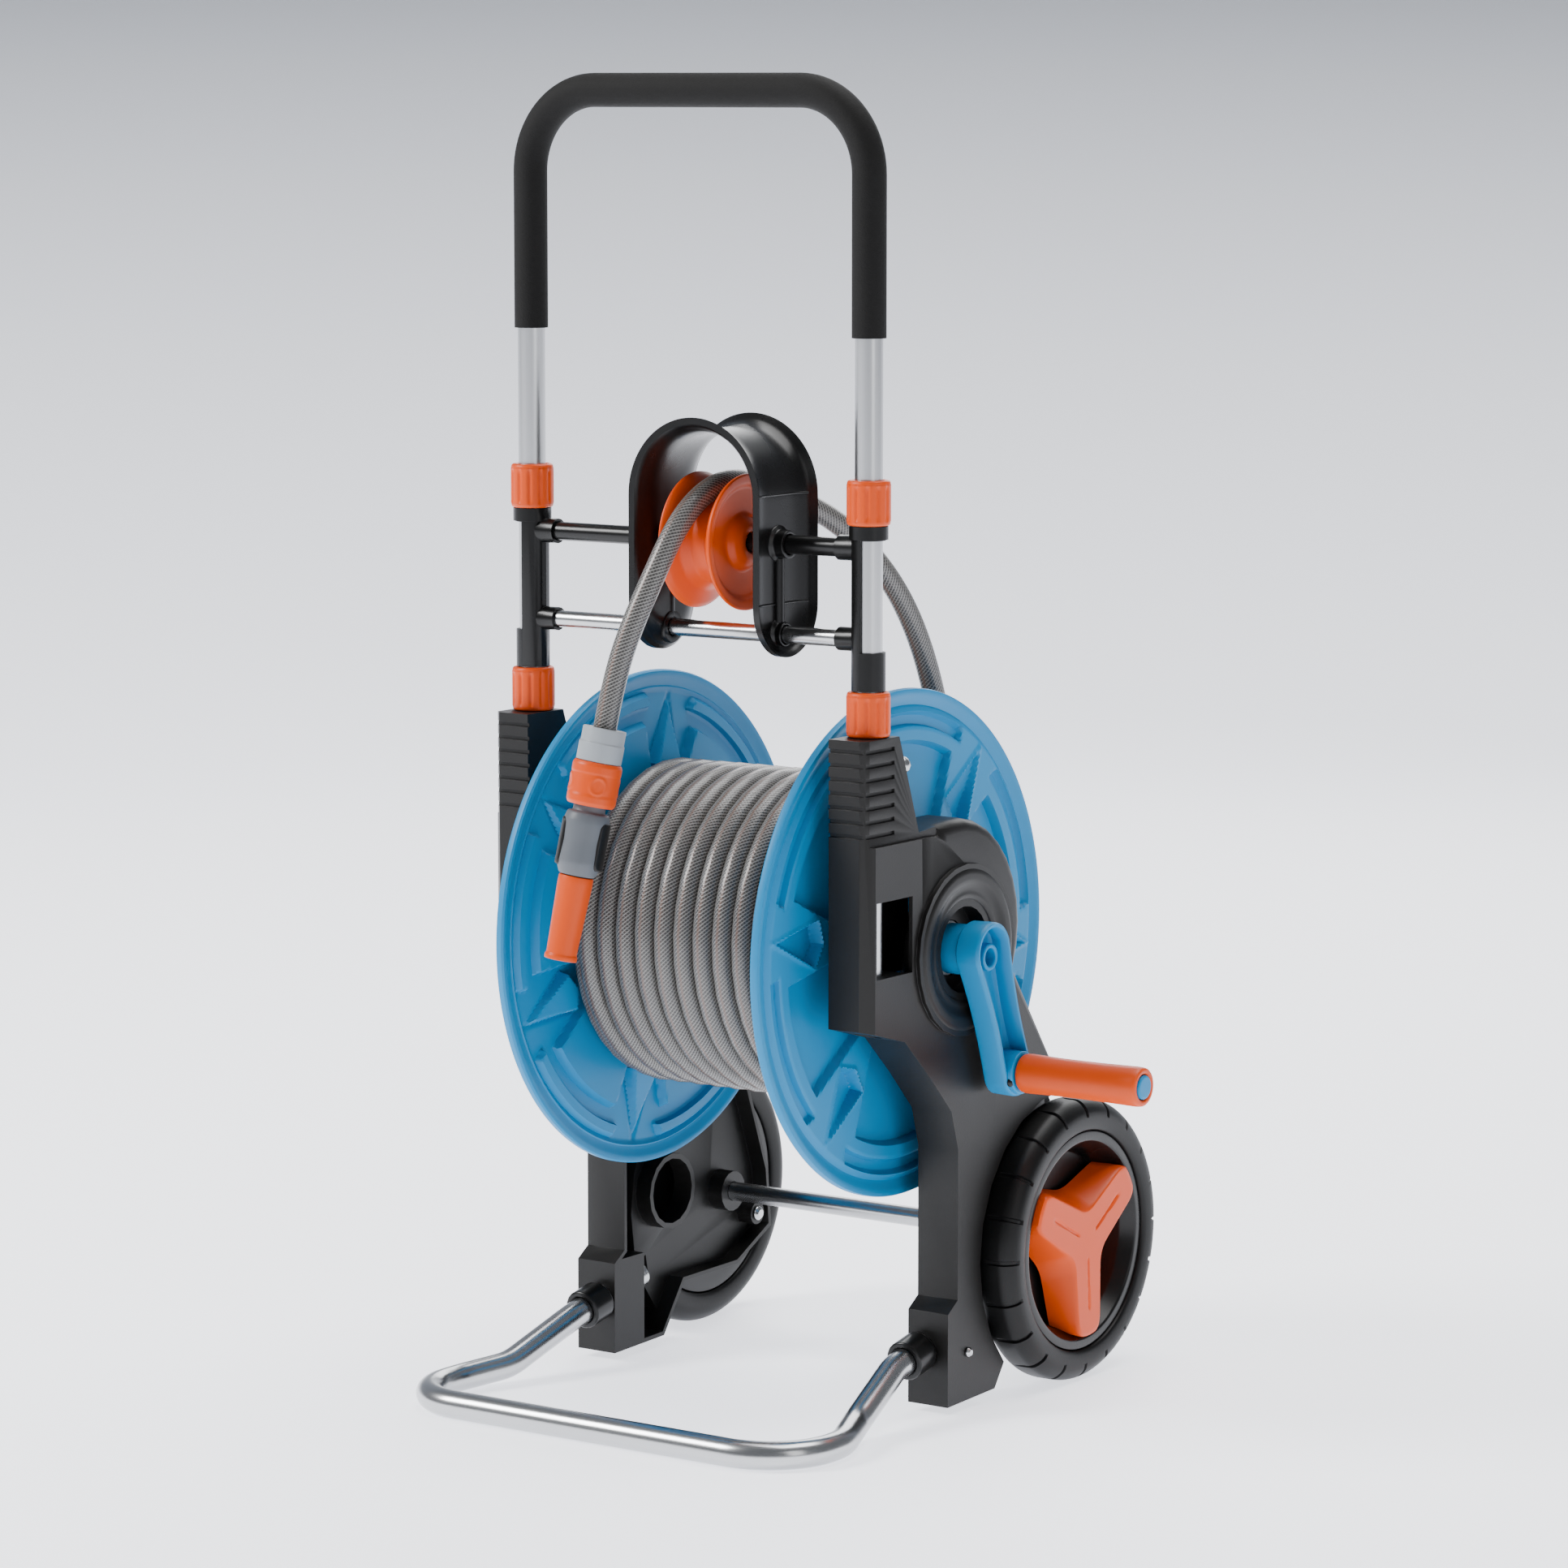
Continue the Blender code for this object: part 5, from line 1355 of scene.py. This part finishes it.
    def build(self) -> None:
        """Housing, ribs, bosses and pulley."""
        make("arched_housing", self.shell(), Body.GUIDE, BLACK_SMOOTH, ["guide_housing"], self.crisp)
        for side in Side:
            label = side.label
            for number, z in enumerate(self.ribs):
                rib = self.rib(side, z, self.rib_half)
                make(f"housing_rib_{label}_{number}", rib, Body.GUIDE, BLACK_SMOOTH)
            make(f"housing_strut_{label}", self.strut(side), Body.GUIDE, BLACK_SMOOTH)
            for name, z, sizes in (
                ("upper_boss", self.bar_z, self.upper_boss), ("lower_boss", self.low_bar_z, self.lower_boss),
            ):
                make(f"{name}_{label}", self.boss(side, z, *sizes), Body.GUIDE, BLACK_SMOOTH)
        make("grooved_pulley", self.pulley(), Body.PULLEY, ORANGE, ["pulley"])


@dataclass
class Crank:
    """The crank's channel-shaped arm, its screw, and the turning grip."""

    hub: tuple[float, float] = DRUM_AXIS
    reach: float = 0.0936
    lean: float = math.radians(20)
    low: float = 0.1655
    high: float = 0.1850
    root: float = 0.0205
    tip: float = 0.0165
    waist: float = 0.0028
    pin_bore: float = 0.0066
    grip_start: float = 0.1892
    grip_end: float = 0.2860
    crisp: float = math.radians(40)

    @property
    def down(self) -> Array:
        """The arm's direction from the hub, of length one, as (y, z)."""
        return np.array([math.sin(self.lean), -math.cos(self.lean)])

    @property
    def pin(self) -> Array:
        """Where the grip turns, as (y, z)."""
        return np.array(self.hub) + self.reach * self.down

    def outline(self, inset: float) -> Array:
        """The outline of two circles and the two sides between them, drawn in by an inset.

        Half a circle at the tip, half at the root, joined by sides that curve in by the waist times
        sin(pi t).

        Args:
            inset: how far inside the outer edge.

        Returns:
            The points, as (y, z).
        """
        hub, end, down = np.array(self.hub), self.pin, self.down
        across = np.array([-down[1], down[0]])
        root, tip = max(self.root - inset, 0.0), max(self.tip - inset, 0.0)
        turn = np.linspace(0, math.pi, 33)[:, None]
        t = np.linspace(0, 1, 26)[1:-1, None]
        width = root + (tip - root) * t - self.waist * np.sin(math.pi * t) * (root > 0)
        near = end + tip * (np.cos(turn) * across + np.sin(turn) * down)
        far = hub + root * (-np.cos(turn) * across - np.sin(turn) * down)
        left = end + (hub - end) * t - width[::-1] * across
        right = hub + (end - hub) * t + width * across
        return np.concatenate([near, left, far, right])

    def arm(self) -> Shape:
        """The arm: the outline at rising insets, up the outside, over the rim and into the channel.

        Returns:
            The closed surface.
        """
        low, high = self.low, self.high
        rings = [
            (0.030, low), (0.0015, low), (0.0, low + 0.0015), (-0.0004, high - 0.0030), (0.0, high - 0.0008),
            (0.0008, high), (0.0024, high), (0.0032, high - 0.0008), (0.0042, low + 0.0075),
            (0.0060, low + 0.0060), (0.0090, low + 0.0058), (0.030, low + 0.0058),
        ]
        flat = np.stack([self.outline(inset) for inset, _ in rings])
        x = np.array([[height] for _, height in rings])
        return grid(np.dstack([np.broadcast_to(x, flat.shape[:2]), flat]), False, True)

    def stub(self, place: Array, radius: float, low: float, high: float, bore: float = 0.0) -> Shape:
        """A softened round boss along X at a place in the YZ plane, with a hole where bore is above 0.

        Args:
            place: its centre, as (y, z).
            radius: its radius.
            low: where it starts.
            high: where it ends.
            bore: its hole.

        Returns:
            The surface.
        """
        if bore:
            outline = [(bore, low), (radius, low), (radius, high), (bore, high)]
            profile = softened(outline, min(0.0014, radius / 4), 4)
        else:
            profile = np.array([
                (0.0, low), (radius, low), (radius, high - 0.0012), (radius - 0.0004, high - 0.0004),
                (radius - 0.0012, high), (0.0, high),
            ])
        return turned(profile, (0.0, *place), ALONG_X, 64)

    def grip(self) -> Shape:
        """The grip: a sleeve that swells a little at both ends, with a rounded mouth.

        Returns:
            The surface.
        """
        start, end, bore = self.grip_start, self.grip_end, self.pin_bore
        outline = [
            (bore, start), (0.0128, start), (0.0138, start + 0.003), (0.0132, start + 0.030),
            (0.0132, end - 0.040), (0.0138, end - 0.004), (0.0132, end), (0.0090, end),
            (0.0088, end - 0.0040), (bore, end - 0.0042),
        ]
        return turned(softened(outline, 0.0030, 4), (0.0, *self.pin), ALONG_X, 72)

    def build(self) -> None:
        """Every piece of the crank."""
        make("channel_arm", self.arm(), Body.DRUM, BLUE, ["crank_arm"], self.crisp)
        hub, low = np.array(self.hub), self.low
        for name, shape in (
            ("arm_root", self.stub(hub, 0.0175, 0.1490, low + 0.002)),
            ("arm_root_boss", self.stub(hub + 0.004 * self.down, 0.0095, low, self.high - 0.004, 0.0062)),
            ("arm_socket", self.stub(self.pin, 0.0150, low + 0.001, 0.1886, self.pin_bore)),
        ):
            make(name, shape, Body.DRUM, BLUE)
        refined("grip_spindle", Body.DRUM, BLUE)
        refined("crank_screw", Body.DRUM, BLACK_SMOOTH, 0.3 * MM)
        make("turned_grip", self.grip(), Body.GRIP, ORANGE, ["crank_grip"])


@dataclass
class Fittings:
    """The nut, release ring, coupler and nozzle on the hose's end, in one line."""

    pad_turn: float = math.radians(26)
    ring_start: float = 0.0234
    body_start: float = 0.0578
    body_end: float = 0.1014
    tip: float = 0.1594
    barrel: float = 0.0155
    end: Array = field(init=False)
    way: Array = field(init=False)

    def __post_init__(self) -> None:
        """Works out where the hose ends, and the direction in which it ends, of length one."""
        path = smooth_route(HoseRun.route)
        self.end = path[-1]
        self.way = unit(path[-1] - path[-2])

    def sleeve(
        self, outline: list[tuple[float, float]], edge: float,
        ripple: Callable[[Array, Array], Array] | None = None,
    ) -> Shape:
        """A fitting turned about the line from a closed outline of (radius, distance past the hose)."""
        return turned(softened(outline, edge, 3), self.end, self.way, 96, ripple)

    def nut(self) -> Shape:
        """The nut: two tiers with a step between them.

        Returns:
            The surface.
        """
        outline = [
            (0.0085, 0.0002), (0.0148, 0.0002), (0.0148, 0.0100), (0.0155, 0.0106), (0.0155, 0.0232),
            (0.0085, 0.0232),
        ]
        return self.sleeve(outline, 0.0008)

    def ring(self) -> Shape:
        """The release ring, with two raised grip marks on each of its four sides.

        Returns:
            The surface.
        """

        def marks(rows: Array, turn: Array) -> Array:
            """A ridge round each mark's outline, by its distance in angle and along the ring.

            Args:
                rows: rows of (radius, distance).
                turn: angles.

            Returns:
                What is added to the radius.
            """
            off = np.mod(turn, math.pi / 2) - math.pi / 4
            reach = np.hypot(off * 0.0165, (rows[..., 1] - self.ring_start - 0.0155) * 0.9)
            return 0.0006 * np.exp(-(((reach - 0.0050) / 0.0010) ** 2)) * (rows[..., 0] > 0.0155)

        start = self.ring_start
        outline = [(0.0112, start), (0.0158, start), (0.0170, start + 0.0024), (0.0170, start + 0.0070)]
        outline += [(0.0166, start + 0.0085 + step) for step in np.linspace(0, 0.0130, 14)]
        outline += [(0.0170, start + 0.0235), (0.0168, start + 0.0275)]
        outline += [(0.0155, start + 0.0298), (0.0112, start + 0.0298)]
        return self.sleeve(outline, 0.0006, marks)

    def body(self) -> Shape:
        """The coupler's body: a waisted barrel that narrows to the nozzle, on a neck inside the ring.

        Returns:
            The surface.
        """
        start, end = self.body_start, self.body_end
        outline = [
            (0.0060, self.ring_start + 0.0005), (0.0110, self.ring_start + 0.0005), (0.0110, start),
            (0.0142, start), (0.0158, start + 0.0060), (0.0150, start + 0.0200), (0.0157, end - 0.0090),
            (0.0135, end - 0.0030), (0.0120, end), (0.0060, end),
        ]
        return self.sleeve(outline, 0.0020)

    def pad(self, side: Side) -> Shape:
        """A grip pad laid over one flank: a rounded patch that rises from the barrel.

        At distance s along and angle t round, it stands proud of the barrel and sinks into it by the
        smoothstep of the patch's distance field, a box with rounded corners.

        Args:
            side: which flank.

        Returns:
            The closed surface.
        """
        start, end = self.body_start + 0.0040, self.body_end - 0.0045
        s = np.linspace(start, end, 40)[:, None]
        t = np.linspace(-0.85, 0.85, 48)[None, :]
        middle, half = (start + end) / 2, (end - start) / 2
        past_end = np.maximum(np.abs(s - middle) - half + 0.006, 0)
        past_side = np.maximum(np.abs(t) * self.barrel - 0.0060, 0)
        rise = 0.0010 - 0.0034 * smoothstep(np.hypot(past_end, past_side), 0.0040, 0.0060)
        way = self.way
        flank = side.value * np.array([math.cos(self.pad_turn), math.sin(self.pad_turn), 0.0])
        out = unit(flank - way * np.dot(way, flank))
        across = np.cross(way, out)
        around = np.cos(t)[..., None] * out + np.sin(t)[..., None] * across
        outer, inner = (
            self.end + s[..., None] * way + r[..., None] * around
            for r in (self.barrel + rise, np.full_like(rise, 0.0115))
        )
        return grid(np.concatenate([outer, inner[:, ::-1]], axis=1), False, True)

    def nozzle(self) -> Shape:
        """The nozzle: a tapering barrel with a lip and a bore.

        Returns:
            The surface.
        """
        start, tip = self.body_end + 0.0004, self.tip
        outline = [
            (0.0, start), (0.0118, start), (0.0120, start + 0.004), (0.0104, tip - 0.0040),
            (0.0112, tip - 0.0030), (0.0112, tip), (0.0062, tip), (0.0060, tip - 0.0340),
            (0.0, tip - 0.0340),
        ]
        return self.sleeve(outline, 0.0007)

    def build(self) -> list[bpy.types.Object]:
        """Every fitting.

        Returns:
            The pieces that hang on the hose.
        """
        make("moulded_nozzle", self.nozzle(), Body.NOZZLE, ORANGE, ["nozzle"])
        pieces = [
            make("two_tier_nut", self.nut(), Body.GUIDE, PALE, ["hose_nut"]),
            make("marked_ring", self.ring(), Body.RELEASE, ORANGE, ["release_ring"], SOFT_ANGLE),
            make("waisted_body", self.body(), Body.GUIDE, GREY, ["coupler_body"], SOFT_ANGLE),
        ]
        for side in Side:
            name, node = f"grip_pad_{side.label}", f"coupler_pad_{side.label}"
            pieces.append(make(name, self.pad(side), Body.GUIDE, BLACK, [node], SQUARE_ANGLE))
        return pieces


@dataclass
class Inlet:
    """The water inlet's swivel elbow on the left hub."""

    def build(self) -> None:
        """Elbow, seal and tail."""
        refined("inlet_elbow", Body.INLET, GREY, 1.0 * MM)
        refined("inlet_seal", Body.INLET, FOAM, 0.3 * MM)
        refined("inlet_tail", Body.INLET, ORANGE)


# ------------------------------------------------------------------ studio
@dataclass
class Studio:
    """A pale sweep of paper, soft lights, and the camera."""

    glow: float = 1.55
    fade_height: float = 1.2
    middle: Point = (0.0, 0.0, 0.4)
    lens: float = 125.24
    eye: Point = (2.1783, -3.0207, 0.9162)
    target: Point = (0.07255, 0.0, 0.4431)

    def paper(self) -> None:
        """The floor: z = 0 up to the bend, then a quarter circle, then straight up."""
        bend, front, back, half = 2.5, -6.0, 3.5, 9.0
        turn = np.linspace(0, math.pi / 2, 24)
        y = np.concatenate([[front, 0.0], back + bend * np.sin(turn), [back + bend]])
        z = np.concatenate([[0.0, 0.0], bend - bend * np.cos(turn), [8.0]])
        away = unit(np.array(self.target) - np.array(self.eye))[:2]
        away = away / np.linalg.norm(away)
        side = np.array([away[1], -away[0]])
        x = np.array([-half, half])
        flat = y[:, None, None] * away + x[None, :, None] * side
        points = np.concatenate([flat, np.broadcast_to(z[:, None, None], (len(y), 2, 1))], axis=-1)
        mesh = bpy.data.meshes.new("paper")
        mesh.from_pydata(points.reshape(-1, 3) + HOME, [], quads(len(y), 2)[:, ::-1])
        mesh.shade_smooth()
        obj = linked("paper", mesh)
        matt = bpy.data.materials.new("paper")
        matt.use_nodes = True
        tree = matt.node_tree
        shader = tree.nodes["Principled BSDF"]
        shader.inputs["Roughness"].default_value = 0.6
        shader.inputs["Specular IOR Level"].default_value = 0.1
        shader.inputs["Emission Color"].default_value = linear("#f4f6ff")
        coords = add_node(tree, "ShaderNodeTexCoord").outputs["Object"]
        height = add_node(tree, "ShaderNodeSeparateXYZ", {}, {"Vector": coords}).outputs["Z"]
        # The paper glows most at the floor, as if lit from below, and darkens up the sweep
        glow = add_node(
            tree, "ShaderNodeMapRange", {"From Max": self.fade_height, "To Min": self.glow, "To Max": 0.0},
            {"Value": height},
        )
        tree.links.new(glow.outputs["Result"], shader.inputs["Emission Strength"])
        rise = add_node(tree, "ShaderNodeMapRange", {"From Max": self.fade_height}, {"Value": height})
        shade = add_node(
            tree, "ShaderNodeMix", {"data_type": "RGBA", 6: linear("#f2f3f5"), 7: linear("#aeb3ba")},
            {0: rise.outputs["Result"]},
        )
        tree.links.new(shade.outputs[2], shader.inputs["Base Color"])
        mesh.materials.append(matt)

    def light(self, name: str, place: Point, size: tuple[float, float], power: float) -> None:
        """One rectangular soft light that faces the cart's middle.

        Args:
            name: its name.
            place: where it hangs.
            size: its width and height.
            power: in watts.
        """
        data = bpy.data.lights.new(name, "AREA")
        data.shape = "RECTANGLE"
        data.size, data.size_y = size
        data.energy = power
        obj = linked(name, data)
        obj.location = Vector(place) + Vector(HOME)
        obj.rotation_euler = (Vector(self.middle) - Vector(place)).to_track_quat("-Z", "Y").to_euler()

    def build(self) -> None:
        """Paper, lights, world and camera."""
        self.paper()
        for name, place, size, power in (
            ("key", (-2.4, -2.0, 2.6), (1.3, 1.3), 165),
            ("fill", (3.2, -1.2, 1.6), (1.2, 2.2), 16),
            ("top", (0.2, 0.8, 3.2), (2.6, 2.0), 105),
            ("back", (-1.0, 3.0, 1.8), (2.4, 1.2), 40),
        ):
            self.light(name, place, size, power)
        world = bpy.data.worlds.new("studio")
        world.use_nodes = True
        world.node_tree.nodes["Background"].inputs["Color"].default_value = linear("#dfe3ea")
        world.node_tree.nodes["Background"].inputs["Strength"].default_value = 0.3
        bpy.context.scene.world = world
        data = bpy.data.cameras.new("camera")
        data.lens = self.lens
        data.sensor_width = 36.0
        data.clip_end = 50.0
        obj = linked("camera", data)
        obj.location = Vector(self.eye) + Vector(HOME)
        obj.rotation_euler = (Vector(self.target) - Vector(self.eye)).to_track_quat("-Z", "Y").to_euler()
        bpy.context.scene.camera = obj


def main() -> None:
    """Builds every sub-assembly, then the studio."""
    logging.basicConfig(level=logging.INFO, format="%(message)s")
    Studio().build()
    hose = HoseRun(Fittings().build())
    for assembly in (
        hose, Drum(), Wheel(Side.LEFT), Wheel(Side.RIGHT), Handle(), Chassis(), Guide(), Crank(), Inlet(),
    ):
        assembly.build()
        log.info("%s built", type(assembly).__name__)


if __name__ == "__main__":
    main()
